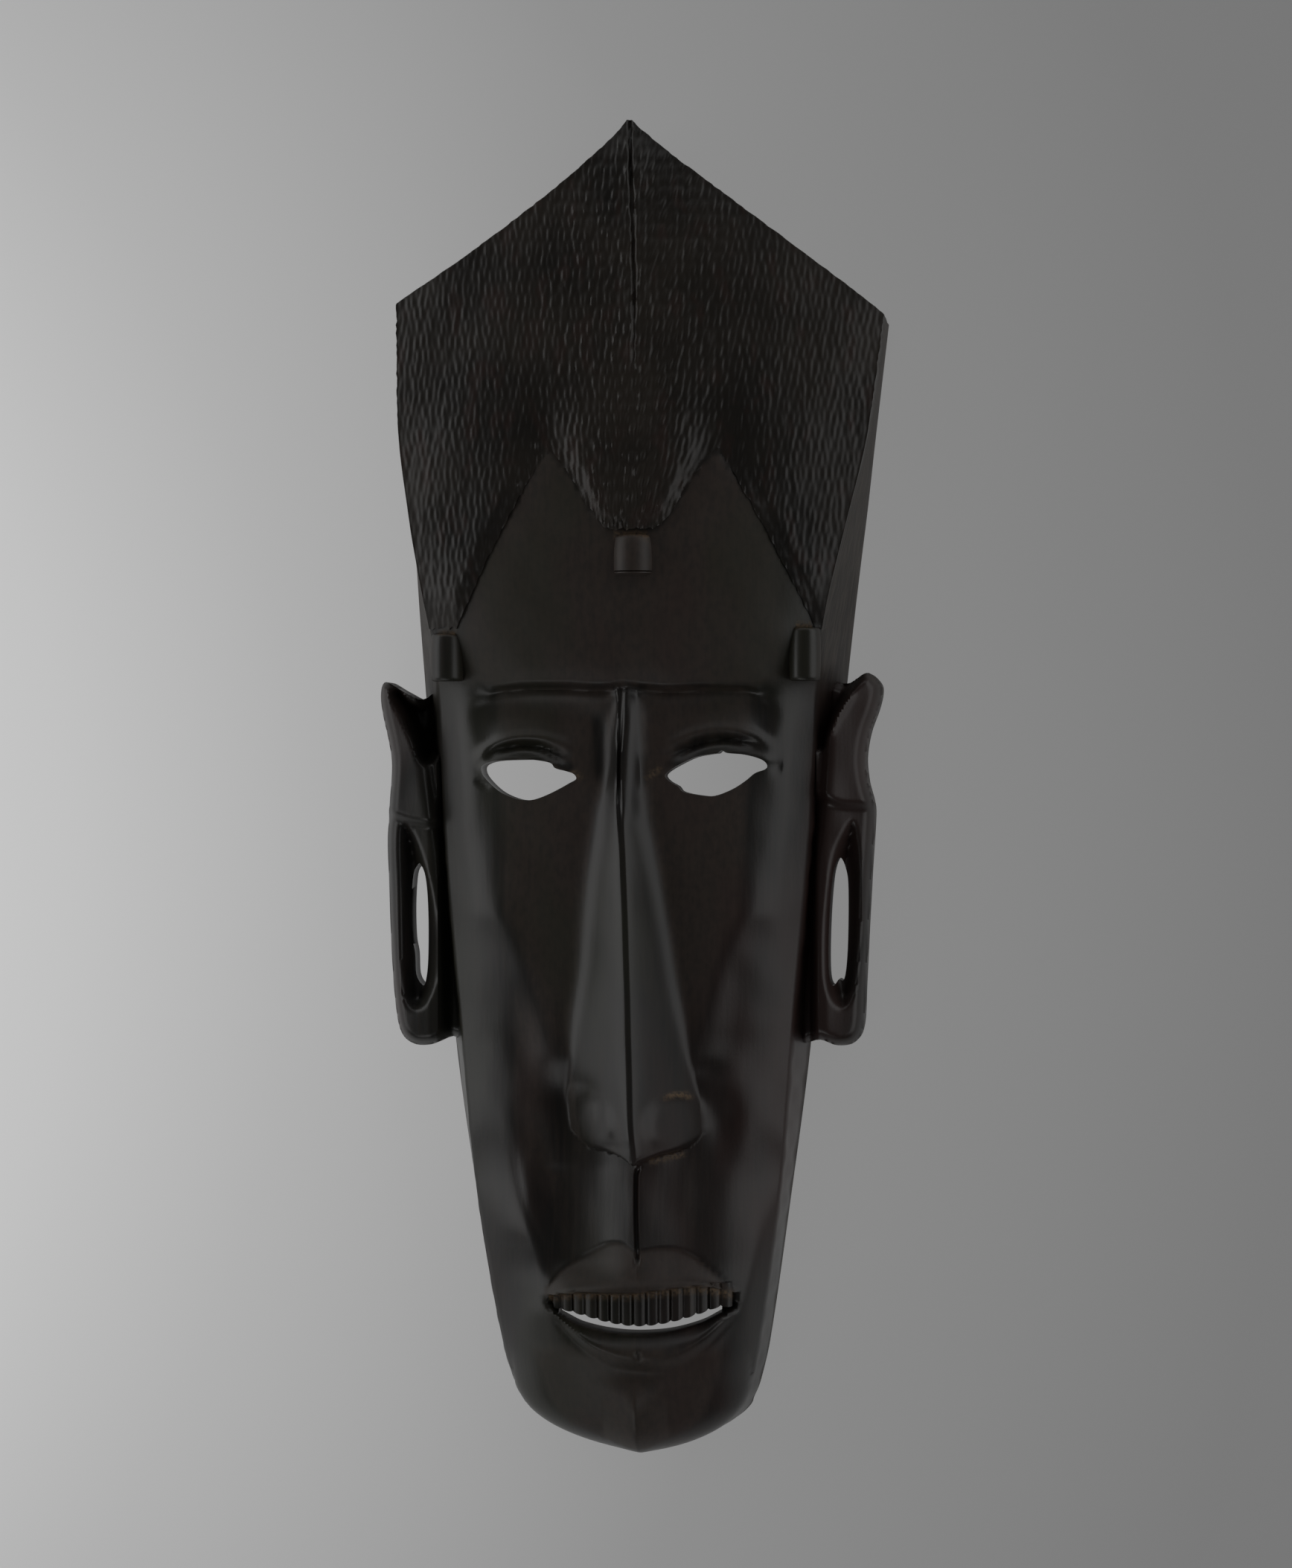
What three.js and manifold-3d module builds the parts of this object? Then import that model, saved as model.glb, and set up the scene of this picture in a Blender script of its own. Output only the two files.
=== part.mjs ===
// A long carved ebony mask: a tall pointed crown of hair, a narrow face and looped ears, hollow behind.
// It lies face up on the flat rim of its hollow back. Millimetres: +X is to the right of the face as
// seen from the front, +Y towards the crown, +Z out of the face.
import * as THREE from "three";
import { mergeVertices } from "three/addons/utils/BufferGeometryUtils.js";
import Module from "manifold-3d";

const wasm = await Module();
wasm.setup();

// Heights along the mask, from the chin to the crown
const CHIN_TIP = -252.5;
const JAW_CORNER = -235;
const NOSE_TIP = -137;
const BROW = 36;
const HAIR_FOOT = 58;
const CROWN_CORNER = 177;
const CROWN_TIP = 248;

// Half-widths, and how round the outline runs to the crown's tip and the chin
const JAW_CORNER_HALF = 45.2;
const CROWN_CORNER_HALF = 90.9;
const APEX_HALF = 0.8;
const CROWN_ROUNDING = 1.13;
const CHIN_ROUNDING = { along: 1.3, across: 0.65 };

// The crown's right corner is cut lower than its left one
const CORNER_DROP = 2.5;

// Hair, beads and brow
const HAIR_RAISE = 3;
const TIP_FADE = 14;
const TUFT = { foot: 94, half: 7 };
const FOREHEAD_PEAK = { half: 32, y: 122 };
const HAIRLINE_SWEEP = 1.15;
const HAIR_REACH = 110;
const BEAD = { radius: 7.6, length: 14, y: 85, x: 2.6, z: 64.5 };
const TEMPLE_BEAD = { radius: 6, length: 18.5, y: 47.8, half: 66.9, z: 47 };
const BEAD_CHAMFER = 1;
const UNDER_BROW = { half: 52, outer: 66, height: 24, depth: 1.5 };
const BROW_STEP = 0.7;

// Eyes, nose and mouth
const EYE = { half: 18, spacing: 69.8, rise: 5.6, sag: 8.6, tilt: 0.075, y: 3.2 };
const EYE_POWER = { upper: 2.6, lower: 1.7 };
const LID = { width: 3, raise: 1.6, edge: 1.5, foot: -2, fade: 2 };
const NOSE_SLOPE = 0.8;
const NOSTRIL = { offset: 16.6, y: -126.5, halfWidth: 8, halfLength: 10, height: 13, sink: 2 };
const HOLLOW = { offset: 31, y: -141, halfWidth: 10, halfLength: 27, depth: 4.5 };
const MOUTH = { half: 30, x: 3.5, corner: -197, toothLine: -201.3, floor: -205.6 };
const UPPER_LIP = { half: 33.5, corner: -187, peak: -171.5, foot: -189.5, raise: 2.6 };
const LIP_BOW = { power: 1.8, dip: 3.5, dipWidth: 0.13 };
const LIP_ENDS = { from: 0.85, to: 1.05 };
const LIP_ROUNDING = 3;
const LOWER_LIP = { half: 33, corner: -198, foot: -216.5, raise: 3 };
const TEETH = { count: 15, radius: 2.25, foot: 0.9, length: 11, y: -191.5, z: 46.6, recess: 2.5 };
const TEETH_ARCH = { sag: 4.5, back: 7, past: 1 };

// Ears: a pointed leaf over a long lobe with a slot in a recess
const EAR = { back: 5, lobeFront: 27, leafFront: 33, bevel: 3, outward: 0.5, leftDrop: 1.5 };
const SLOT = { half: 3.3, top: -29, bottom: -76 };
const RECESS = { half: 6.4, top: -17, bottom: -86, depth: 6 };
const SLOT_MIDDLE = 78.6;
const SLOT_LEAN = 0.5;
const LOBE_FACE = { x: 85, y: -62, width: 60, length: 120, height: 20, tilt: -0.06 };
const SCOOP = { x: 76, y: 22, half: [10, 26, 13], turn: 0.22, above: 1 };

// Straight cuts run from below the rim to above the nose
const CUT = { from: -20, to: 100 };

// The hollow behind
const WALL = 11;
const CAVITY = { top: 222, bottom: -237, skirt: 4, leastHalf: 4, flareShare: 0.4 };
const CAVITY_POWER = { along: 1.6, end: 8, section: 0.7 };
const CAVITY_MESH = { rows: 18, columns: 12 };

// Columns on each side of the middle: a third on the nose, a third on the cheek, a third on the side
const COLUMNS = 15;

// Straight steps along the curved outlines, and sides of the round pieces
const STEPS = { hairline: 30, eye: 11, mouth: 14 };
const SIDES = { bead: 14, tooth: 6 };

// Points of the finished solid that lie closer than this to a straight run are merged into it
const SLIVER = 0.02;

// A smooth curve through stations, each a height along the mask and the value there
function curve(stations) {
  const last = stations.length - 1;
  const slopes = stations.map((station, i) => {
    const below = stations[Math.max(i - 1, 0)];
    const above = stations[Math.min(i + 1, last)];
    return (above[1] - below[1]) / (above[0] - below[0]);
  });
  return (y) => {
    if (y <= stations[0][0]) return stations[0][1];
    if (y >= stations[last][0]) return stations[last][1];
    const i = stations.findIndex((station) => station[0] > y) - 1;
    const [y0, v0] = stations[i];
    const [y1, v1] = stations[i + 1];
    const span = y1 - y0;
    const t = (y - y0) / span;
    const ease = t * t * (3 - 2 * t);
    const start = t * (1 - t) * (1 - t);
    const end = t * t * (t - 1);
    return v0 + (v1 - v0) * ease + span * (slopes[i] * start + slopes[i + 1] * end);
  };
}

function blend(from, to, value) {
  return THREE.MathUtils.smoothstep(value, Math.min(from, to), Math.max(from, to));
}

function smoothMin(a, b, radius) {
  const near = Math.max(radius - Math.abs(a - b), 0) / radius;
  return Math.min(a, b) - near * near * radius * 0.25;
}

function smoothMax(a, b, radius) {
  return -smoothMin(-a, -b, radius);
}

// The block was not quite straight: its middle wanders sideways, and the nose leans to the right
const spine = curve([
  [CHIN_TIP, 2.6],
  [-240, -0.4],
  [-223, -1.9],
  [-127, -3.1],
  [-45, -3.1],
  [HAIR_FOOT, -2],
  [98, -0.8],
  [CROWN_CORNER, 3.5],
  [192, 4.7],
  [214, 4.5],
  [226, 3.4],
  [CROWN_TIP, 1],
]);

const ridgeLine = curve([
  [CHIN_TIP, 3.3],
  [-205, MOUTH.x],
  [NOSE_TIP, 3.4],
  [-69, 0.1],
  [-28, -1.8],
  [0, -3.4],
  [BROW, -2.6],
  [BEAD.y, 1],
  [CROWN_CORNER, 3.4],
  [CROWN_TIP, 1],
]);

// Half-width of the rim that the mask lies on
const sideHalf = curve([
  [JAW_CORNER, JAW_CORNER_HALF],
  [-212, 51.3],
  [-155, 60.3],
  [-98, 68],
  [44, 81.4],
  [98, 86.3],
  [135, 88.5],
  [CROWN_CORNER, CROWN_CORNER_HALF],
]);

function rimHalf(y) {
  if (y > CROWN_CORNER) {
    const climb = (CROWN_TIP - y) / (CROWN_TIP - CROWN_CORNER);
    return APEX_HALF + (CROWN_CORNER_HALF - APEX_HALF) * climb ** CROWN_ROUNDING;
  }
  if (y < JAW_CORNER) {
    const fall = (JAW_CORNER - y) / (JAW_CORNER - CHIN_TIP);
    const round = (1 - fall ** CHIN_ROUNDING.along) ** CHIN_ROUNDING.across;
    return APEX_HALF + (JAW_CORNER_HALF - APEX_HALF) * round;
  }
  return sideHalf(y);
}

// How far the front edge stands in from the rim, as the sides flare towards the back
const flare = curve([
  [CHIN_TIP, 0.1],
  [JAW_CORNER, 2.5],
  [-155, 3.2],
  [-98, 6],
  [-41, 6.5],
  [12, 8],
  [BROW, 9.5],
  [HAIR_FOOT, 9.5],
  [98, 5],
  [135, 0.8],
  [CROWN_TIP, 0.2],
]);

function frontHalf(y) {
  return Math.max(rimHalf(y) - flare(y), rimHalf(y) / 2);
}

// Height of the front's outer edge above the rim
const edgeHeight = curve([
  [CHIN_TIP, 11],
  [JAW_CORNER, 18],
  [-155, 26],
  [-98, 28.5],
  [12, 32],
  [BROW, 37],
  [HAIR_FOOT, 47],
  [98, 50],
  [CROWN_CORNER, 47],
]);

// Height of the middle of the forehead and hair
const domeHeight = curve([
  [BROW, 59.5],
  [HAIR_FOOT, 63.5],
  [90, 67],
  [120, 68.5],
  [160, 68.5],
  [200, 66],
  [230, 61],
  [CROWN_TIP, 54],
]);

// Height of the face's front plane, without nose and lips
const planeHeight = curve([
  [CHIN_TIP, 14],
  [-243, 33],
  [JAW_CORNER, 42],
  [-224, 47],
  [-200, 50],
  [-170, 51],
  [-145, 49],
  [-110, 47],
  [-50, 47],
  [-8, 50],
  [BROW, 54],
]);

// How strongly that plane curves back to both sides
const planeCurve = curve([
  [CHIN_TIP, 0.002],
  [JAW_CORNER, 0.006],
  [-150, 0.007],
  [-110, 0.003],
  [-70, 0.0004],
  [-20, 0.0012],
  [BROW, 0.0024],
]);

// Half-width of that plane, out to where the polished bands down the sides of the face begin
const planeHalf = curve([
  [CHIN_TIP, 26],
  [JAW_CORNER, 30],
  [-200, 36],
  [-175, 37],
  [-140, 42],
  [-105, 33],
  [-88, 33],
  [-60, 40],
  [-40, 48.5],
  [-8, 55.7],
  [BROW, 58],
  [95, 60],
]);

// Where the outline narrows, the plane keeps at most this share of the front
const PLANE_SHARE = 0.8;

function planeHalfWithin(y) {
  return Math.min(planeHalf(y), frontHalf(y) * PLANE_SHARE);
}

// Half-width of the foot of the nose
const noseHalf = curve([
  [-200, 13],
  [-150, 16],
  [-125, 22],
  [-100, 21.7],
  [-80, 17.5],
  [-51, 13.4],
  [-7, 9.6],
  [BROW, 8],
  [80, 30],
]);

// Height of the ridge of the nose, which drops steeply below its tip
const noseHeight = curve([
  [-152, 0],
  [-146, 38],
  [-142, 58],
  [NOSE_TIP, 72],
  [-130, 75],
  [-100, 69.5],
  [-50, 62],
  [0, 57.5],
  [BROW, 57],
]);

// The hairline: a tuft in the middle, a peak of forehead on each side, then down to the temples
function hairline(x) {
  const side = Math.abs(x - ridgeLine(FOREHEAD_PEAK.y));
  const rise = (FOREHEAD_PEAK.y - TUFT.foot) * blend(TUFT.half, FOREHEAD_PEAK.half, side);
  const fall = Math.max(side - FOREHEAD_PEAK.half, 0) / (TEMPLE_BEAD.half - FOREHEAD_PEAK.half);
  const temple = (FOREHEAD_PEAK.y - HAIR_FOOT) * Math.min(fall, 1) ** HAIRLINE_SWEEP;
  return TUFT.foot + rise - temple;
}

// Power of the section's curve: flat in the middle at the brow, rounder from the hair up
const domePower = curve([
  [BROW, 3.2],
  [68, 2.6],
  [100, 2],
]);

// How much of the crown's fall to the sides is a straight slope that folds along the middle
const CROWN_FOLD = { share: 0.4, from: 110, to: 160 };

// Above its corners the crown keeps the same section, which its slanting edges cut off
function domeSurface(x, y) {
  const level = Math.min(y, CROWN_CORNER);
  const across = Math.min(Math.abs(x - spine(y)) / frontHalf(level), 1);
  const fold = CROWN_FOLD.share * blend(CROWN_FOLD.from, CROWN_FOLD.to, y);
  const fall = THREE.MathUtils.lerp(across ** domePower(y), across, fold);
  return domeHeight(y) - (domeHeight(level) - edgeHeight(level)) * fall;
}

function plane(x, y) {
  const aside = x - spine(y);
  return planeHeight(y) - planeCurve(y) * aside * aside;
}

// The polished band falls from the side of the front plane to the front's outer edge, a little bowed.
// Inside the front plane it rises on, straight, so that it never cuts into that plane.
const BAND_BOW = 0.12;

function sideBand(x, y) {
  const share = (frontHalf(y) - Math.abs(x - spine(y))) / (frontHalf(y) - planeHalfWithin(y));
  const within = Math.min(share, 1);
  const bowed = within * (1 + BAND_BOW - BAND_BOW * within) + (share - within) * (1 - BAND_BOW);
  const drop = plane(spine(y) + planeHalfWithin(y), y) - edgeHeight(y);
  return edgeHeight(y) + drop * bowed;
}

// At the chin the planes of the face give way to one rounded form that falls to the outline
const CHIN_FORM = { from: 16, to: 7, fullness: 0.38 };

function roundChin(x, y, planes) {
  const share = 1 - blend(JAW_CORNER - CHIN_FORM.to, JAW_CORNER + CHIN_FORM.from, y);
  if (share === 0) return planes;
  const fall = Math.max(JAW_CORNER - y, 0) / (JAW_CORNER - CHIN_TIP);
  const aside = Math.abs(x - spine(y)) / JAW_CORNER_HALF;
  const inward = 1 - fall ** CHIN_ROUNDING.along - aside ** (1 / CHIN_ROUNDING.across);
  const low = edgeHeight(CHIN_TIP);
  const rounded = low + (planeHeight(JAW_CORNER) - low) * Math.max(inward, 0) ** CHIN_FORM.fullness;
  return THREE.MathUtils.lerp(planes, rounded, share);
}

// A round hollow or mound on both sides of a middle line, 1 in its middle and 0 outside
function pair(x, y, middle, shape) {
  const across = (Math.abs(x - middle) - shape.offset) / shape.halfWidth;
  const along = (y - shape.y) / shape.halfLength;
  return Math.max(1 - across * across - along * along, 0);
}

function nose(x, y) {
  const ridge = ridgeLine(y);
  const slope = Math.max((noseHeight(y) - planeHeight(y)) / noseHalf(y), NOSE_SLOPE);
  const crest = noseHeight(y) - slope * Math.abs(x - ridge);
  const ball = Math.sqrt(pair(x, y, ridge, NOSTRIL));
  const wing = planeHeight(y) + NOSTRIL.height * ball - NOSTRIL.sink;
  return ball > 0 ? smoothMax(crest, wing, NOSTRIL.sink) : crest;
}

// The upper lip's bow: its top edge dips in the middle and falls to the corners
function lipTop(x) {
  const across = Math.min(Math.abs(x - MOUTH.x) / UPPER_LIP.half, 1);
  const bow = (UPPER_LIP.peak - UPPER_LIP.corner) * (1 - across ** LIP_BOW.power);
  const dip = LIP_BOW.dip * Math.exp(-((across / LIP_BOW.dipWidth) ** 2));
  return UPPER_LIP.corner + bow - dip;
}

function lipFoot(x, floor) {
  const across = Math.min(Math.abs(x - MOUTH.x) / LOWER_LIP.half, 1);
  return LOWER_LIP.corner + (floor - LOWER_LIP.corner) * (1 - across * across);
}

function lips(x, y) {
  const across = Math.abs(x - MOUTH.x) / UPPER_LIP.half;
  const width = 1 - blend(LIP_ENDS.from, LIP_ENDS.to, across);
  const aboveTeeth = blend(UPPER_LIP.foot - 1, UPPER_LIP.foot, y);
  const aboveFloor = blend(-1, 1, y - lipFoot(x, MOUTH.toothLine - 1));
  const upper = blend(0, LIP_ROUNDING, lipTop(x) - y) * aboveTeeth;
  const lower = blend(0, LIP_ROUNDING, y - lipFoot(x, LOWER_LIP.foot)) * (1 - aboveFloor);
  const gums = aboveFloor * (1 - aboveTeeth);
  return width * (UPPER_LIP.raise * upper + LOWER_LIP.raise * lower - TEETH.recess * gums);
}

// Middle of the eye on the given side of the nose, and its edges by their place along it
function eyeMiddle(side) {
  return spine(EYE.y) + side * EYE.spacing * 0.5;
}

function eyeUpper(across) {
  return EYE.rise * (1 - Math.abs(across) ** EYE_POWER.upper);
}

function eyeLower(across) {
  return -EYE.sag * (1 - Math.abs(across) ** EYE_POWER.lower);
}

function eyelid(x, y) {
  const side = Math.sign(x - spine(EYE.y)) || 1;
  const away = (x - eyeMiddle(side)) * side;
  const level = y - EYE.y - EYE.tilt * away;
  const across = Math.min(Math.abs(away) / (EYE.half + LID.width), 1);
  const underEdge = blend(0, LID.edge, eyeUpper(across) + LID.width + 1 - level);
  const aboveFoot = blend(LID.foot - LID.fade, LID.foot + LID.fade, level);
  return LID.raise * underEdge * aboveFoot * (1 - blend(0.9, 1, across));
}

function faceSurface(x, y) {
  const hollow = HOLLOW.depth * pair(x, y, ridgeLine(y), HOLLOW) ** 1.5;
  const inward = 1 - blend(UNDER_BROW.half, UNDER_BROW.outer, Math.abs(x - spine(y)));
  const underBrow = UNDER_BROW.depth * blend(BROW - UNDER_BROW.height, BROW, y) * inward;
  const front = plane(x, y) - hollow - underBrow + lips(x, y) + eyelid(x, y);
  return smoothMax(roundChin(x, y, smoothMin(front, sideBand(x, y), 3)), nose(x, y), 1);
}

function frontHeight(x, y) {
  const browLine = blend(BROW - BROW_STEP, BROW + BROW_STEP, y);
  if (browLine === 0) return faceSurface(x, y);
  if (browLine === 1) return domeSurface(x, y);
  return THREE.MathUtils.lerp(faceSurface(x, y), domeSurface(x, y), browLine);
}

// Heights of the rows of the front, closer together where the carving is finer
const ROWS = rowHeights([
  [CHIN_TIP, CHIN_TIP + 1.5, 3],
  [CHIN_TIP + 1.5, JAW_CORNER, 5],
  [JAW_CORNER, -220, 3],
  [-220, -168, 14],
  [-168, -148, 4],
  [-148, -116, 10],
  [-116, -20, 9],
  [-20, BROW - BROW_STEP, 14],
  [BROW - BROW_STEP, BROW + BROW_STEP, 1],
  [BROW + BROW_STEP, HAIR_FOOT, 3],
  [HAIR_FOOT, 126, 6],
  [126, CROWN_CORNER, 5],
  [CROWN_CORNER, CROWN_TIP, 6],
]);

function rowHeights(bands) {
  const rows = bands.flatMap(([from, to, count]) =>
    Array.from({ length: count }, (_, i) => from + ((to - from) * i) / count),
  );
  return [...rows, CROWN_TIP];
}

// Skirt points on one side of a row, from the rim up to the front edge
const SKIRT_SHARES = [0, 0.5];

// Rows narrower than this on each side follow the nose's line less and less
const LEAN_HALF = 30;

// One row from the left rim over the front to the right rim: its columns follow the foot of the nose
// and the edge of the front plane, and its ends tilt with the crown's uneven corners
function rowPoints(y, raise) {
  const middle = spine(y);
  const half = frontHalf(y);
  const knots = [0, Math.min(noseHalf(y), half / 3), planeHalfWithin(y), half];
  const cornerDrop = CORNER_DROP * blend(HAIR_FOOT, CROWN_CORNER, y) * (rimHalf(y) / CROWN_CORNER_HALF);
  const front = Array.from({ length: 2 * COLUMNS + 1 }, (_, i) => {
    const side = Math.sign(i - COLUMNS);
    const place = (3 * Math.abs(i - COLUMNS)) / COLUMNS;
    const zone = Math.min(Math.floor(place), 2);
    const aside = side * THREE.MathUtils.lerp(knots[zone], knots[zone + 1], place - zone);
    const share = aside / half;
    const lean = (ridgeLine(y) - middle) * Math.min(half / LEAN_HALF, 1) * (1 - share * share) ** 2;
    const x = middle + aside + lean;
    return [x, y - cornerDrop * share, frontHeight(x, y) + raise];
  });
  const skirt = (side) =>
    SKIRT_SHARES.map((share) => {
      const x = middle + side * THREE.MathUtils.lerp(rimHalf(y), half, share);
      const top = frontHeight(middle + side * half, y) + raise;
      return [x, y - cornerDrop * side, top * share];
    });
  return [...skirt(-1), ...front, ...skirt(1).reverse()];
}

// A closed solid over rows of points whose first and last points lie on the ground plane
function solidFromRows(rows) {
  const wide = rows[0].length;
  const index = [];
  for (let j = 0; j + 1 < rows.length; j += 1) {
    for (let i = 0; i < wide; i += 1) {
      const next = (i + 1) % wide;
      const a = j * wide + i;
      const b = j * wide + next;
      index.push(a, b, b + wide, a, b + wide, a + wide);
    }
  }
  const top = (rows.length - 1) * wide;
  for (let i = 1; i + 1 < wide; i += 1) {
    index.push(0, i + 1, i, top, top + i, top + i + 1);
  }
  const geometry = new THREE.BufferGeometry();
  geometry.setAttribute("position", new THREE.Float32BufferAttribute(rows.flat(2), 3));
  geometry.setIndex(index);
  return toSolid(geometry);
}

// Points closer than this are one point
const SAME_POINT = 1e-3;

function toSolid(geometry) {
  geometry.deleteAttribute("normal");
  geometry.deleteAttribute("uv");
  const merged = mergeVertices(geometry, SAME_POINT);
  const mesh = new wasm.Mesh({
    numProp: 3,
    vertProperties: merged.attributes.position.array,
    triVerts: new Uint32Array(merged.index.array),
  });
  return new wasm.Manifold(mesh);
}

// The hollow follows the outside at the thickness of the wall, with plain round sides
const ceiling = curve([
  [CAVITY.bottom, 20],
  [-215, 34],
  [-150, 37],
  [-50, 36],
  [0, 38],
  [45, 45],
  [100, 50],
  [170, 44],
  [CAVITY.top, 28],
]);

function cavity() {
  const rows = Array.from({ length: CAVITY_MESH.rows + 1 }, (_, j) => {
    const share = (2 * j) / CAVITY_MESH.rows - 1;
    const along = Math.sign(share) * (1 - (1 - Math.abs(share)) ** CAVITY_POWER.along);
    const y = THREE.MathUtils.lerp(CAVITY.bottom, CAVITY.top, 0.5 + 0.5 * along);
    const round = Math.sqrt(1 - Math.abs(along) ** CAVITY_POWER.end);
    const half = Math.max(rimHalf(y) - WALL - flare(y) * CAVITY.flareShare, CAVITY.leastHalf);
    return Array.from({ length: CAVITY_MESH.columns + 1 }, (_, i) => {
      const angle = Math.PI * (1 - i / CAVITY_MESH.columns);
      const across = Math.sign(Math.cos(angle)) * Math.abs(Math.cos(angle)) ** CAVITY_POWER.section;
      const arch = Math.sin(angle) ** CAVITY_POWER.section * round;
      const x = spine(y) + half * across;
      const z = -CAVITY.skirt + (ceiling(y) + CAVITY.skirt) * arch;
      return [x, y, z];
    });
  });
  return solidFromRows(rows);
}

// A shape in the front view, extruded through the whole depth of the mask
function throughCut(points) {
  const shape = new THREE.Shape(points.map(([x, y]) => new THREE.Vector2(x, y)));
  const geometry = new THREE.ExtrudeGeometry(shape, { depth: CUT.to - CUT.from, bevelEnabled: false });
  geometry.translate(0, 0, CUT.from);
  return toSolid(geometry);
}

// The hair stands proud of the forehead, so it is the same front raised and trimmed to the hairline
function hair() {
  const edgeReach = TEMPLE_BEAD.half * 1.1;
  const edge = Array.from({ length: STEPS.hairline + 1 }, (_, i) => {
    const x = edgeReach * ((2 * i) / STEPS.hairline - 1);
    return [x, hairline(x)];
  });
  const top = CROWN_TIP + HAIR_REACH;
  const outline = [
    [-HAIR_REACH, HAIR_FOOT],
    ...edge,
    [HAIR_REACH, HAIR_FOOT],
    [HAIR_REACH, top],
    [-HAIR_REACH, top],
  ];
  const raise = (y) => HAIR_RAISE * (1 - blend(CROWN_TIP - TIP_FADE, CROWN_TIP, y));
  const raised = solidFromRows(ROWS.filter((y) => y > BROW).map((y) => rowPoints(y, raise(y))));
  return raised.intersect(throughCut(outline));
}

function eyeHole(side) {
  const steps = STEPS.eye;
  const edge = (height, i) => {
    const across = (2 * i) / steps - 1;
    const away = across * EYE.half;
    return [eyeMiddle(side) + side * away, EYE.y + EYE.tilt * away + height(across)];
  };
  const lower = Array.from({ length: steps }, (_, i) => edge(eyeLower, i));
  const upper = Array.from({ length: steps }, (_, i) => edge(eyeUpper, steps - i));
  const outline = [...lower, ...upper];
  return throughCut(side > 0 ? outline : outline.reverse());
}

function mouthHole() {
  const steps = STEPS.mouth;
  const edge = (middle, i) => {
    const across = (2 * i) / steps - 1;
    return [MOUTH.x + MOUTH.half * across, MOUTH.corner + (middle - MOUTH.corner) * (1 - across * across)];
  };
  const lower = Array.from({ length: steps }, (_, i) => edge(MOUTH.floor, i));
  const upper = Array.from({ length: steps }, (_, i) => edge(MOUTH.toothLine, steps - i));
  return throughCut([...lower, ...upper]);
}

// A row of round teeth, which sags in the middle and bends back at its ends
function teeth() {
  return Array.from({ length: TEETH.count }, (_, i) => {
    const across = (2 * i) / (TEETH.count - 1) - 1;
    const footRadius = TEETH.radius * TEETH.foot;
    const geometry = new THREE.CylinderGeometry(TEETH.radius, footRadius, TEETH.length, SIDES.tooth);
    const x = MOUTH.x + across * (MOUTH.half + TEETH_ARCH.past);
    const y = TEETH.y - TEETH_ARCH.sag * (1 - across * across);
    const z = TEETH.z - TEETH_ARCH.back * across * across;
    geometry.translate(x, y, z);
    return toSolid(geometry);
  });
}

// A bead that lies along the mask, with its edges broken by a small chamfer
function bead(spec, x) {
  const half = spec.length * 0.5;
  const profile = [
    [0, -half],
    [spec.radius - BEAD_CHAMFER, -half],
    [spec.radius, -half + BEAD_CHAMFER],
    [spec.radius, half - BEAD_CHAMFER],
    [spec.radius - BEAD_CHAMFER, half],
    [0, half],
  ].map(([radius, y]) => new THREE.Vector2(radius, y));
  const geometry = new THREE.LatheGeometry(profile, SIDES.bead);
  geometry.translate(x, spec.y, spec.z);
  return toSolid(geometry);
}

// Outline of an ear: distance from the middle of the face and height along the mask
function earOutline() {
  const shape = new THREE.Shape();
  shape.moveTo(60, -92);
  shape.lineTo(72, -95.5);
  shape.quadraticCurveTo(80, -98.5, 85.5, -95.5);
  shape.quadraticCurveTo(88.5, -94, 88.8, -86);
  shape.bezierCurveTo(89.5, -60, 91.5, -30, 91.6, -12);
  shape.bezierCurveTo(91.6, -2, 88.6, 2, 89, 10);
  shape.bezierCurveTo(89.4, 18, 93.5, 24, 94.4, 32);
  shape.quadraticCurveTo(94.6, 38.5, 90.5, 41);
  shape.quadraticCurveTo(86, 41.5, 78, 38);
  shape.lineTo(62, 36);
  shape.closePath();
  return shape;
}

// A long hole with round ends, which leans outwards a little at its top
function slotOutline(spec) {
  const shape = new THREE.Shape();
  const low = spec.bottom + spec.half;
  const high = spec.top - spec.half;
  shape.absarc(SLOT_MIDDLE, low, spec.half, Math.PI, 2 * Math.PI, false);
  shape.absarc(SLOT_MIDDLE + SLOT_LEAN, high, spec.half, 0, Math.PI, false);
  shape.closePath();
  return shape;
}

function extruded(shape, from, to, bevel) {
  const options = {
    depth: to - from - 2 * bevel,
    curveSegments: 3,
    bevelEnabled: bevel > 0,
    bevelSize: bevel,
    bevelThickness: bevel,
    bevelOffset: -bevel,
    bevelSegments: 1,
  };
  const geometry = new THREE.ExtrudeGeometry(shape, options);
  geometry.translate(0, 0, from + bevel);
  return geometry;
}

// The lobe's face lies lower than the leaf's, and the leaf's inner half is scooped out next to the head
function rightEar() {
  const body = extruded(earOutline(), EAR.back, EAR.leafFront, EAR.bevel);
  const lobeFace = new THREE.BoxGeometry(LOBE_FACE.width, LOBE_FACE.length, LOBE_FACE.height);
  lobeFace.rotateX(LOBE_FACE.tilt);
  lobeFace.translate(LOBE_FACE.x, LOBE_FACE.y, EAR.lobeFront + LOBE_FACE.height / 2);
  const recess = extruded(slotOutline(RECESS), EAR.lobeFront - RECESS.depth, CUT.to, 0);
  const slot = extruded(slotOutline(SLOT), CUT.from, CUT.to, 0);
  const scoop = new THREE.SphereGeometry(1, 12, 8);
  scoop.scale(...SCOOP.half);
  scoop.rotateZ(SCOOP.turn);
  scoop.translate(SCOOP.x, SCOOP.y, EAR.leafFront + SCOOP.above);
  return [lobeFace, recess, slot, scoop].reduce((ear, cut) => ear.subtract(toSolid(cut)), toSolid(body));
}

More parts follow.
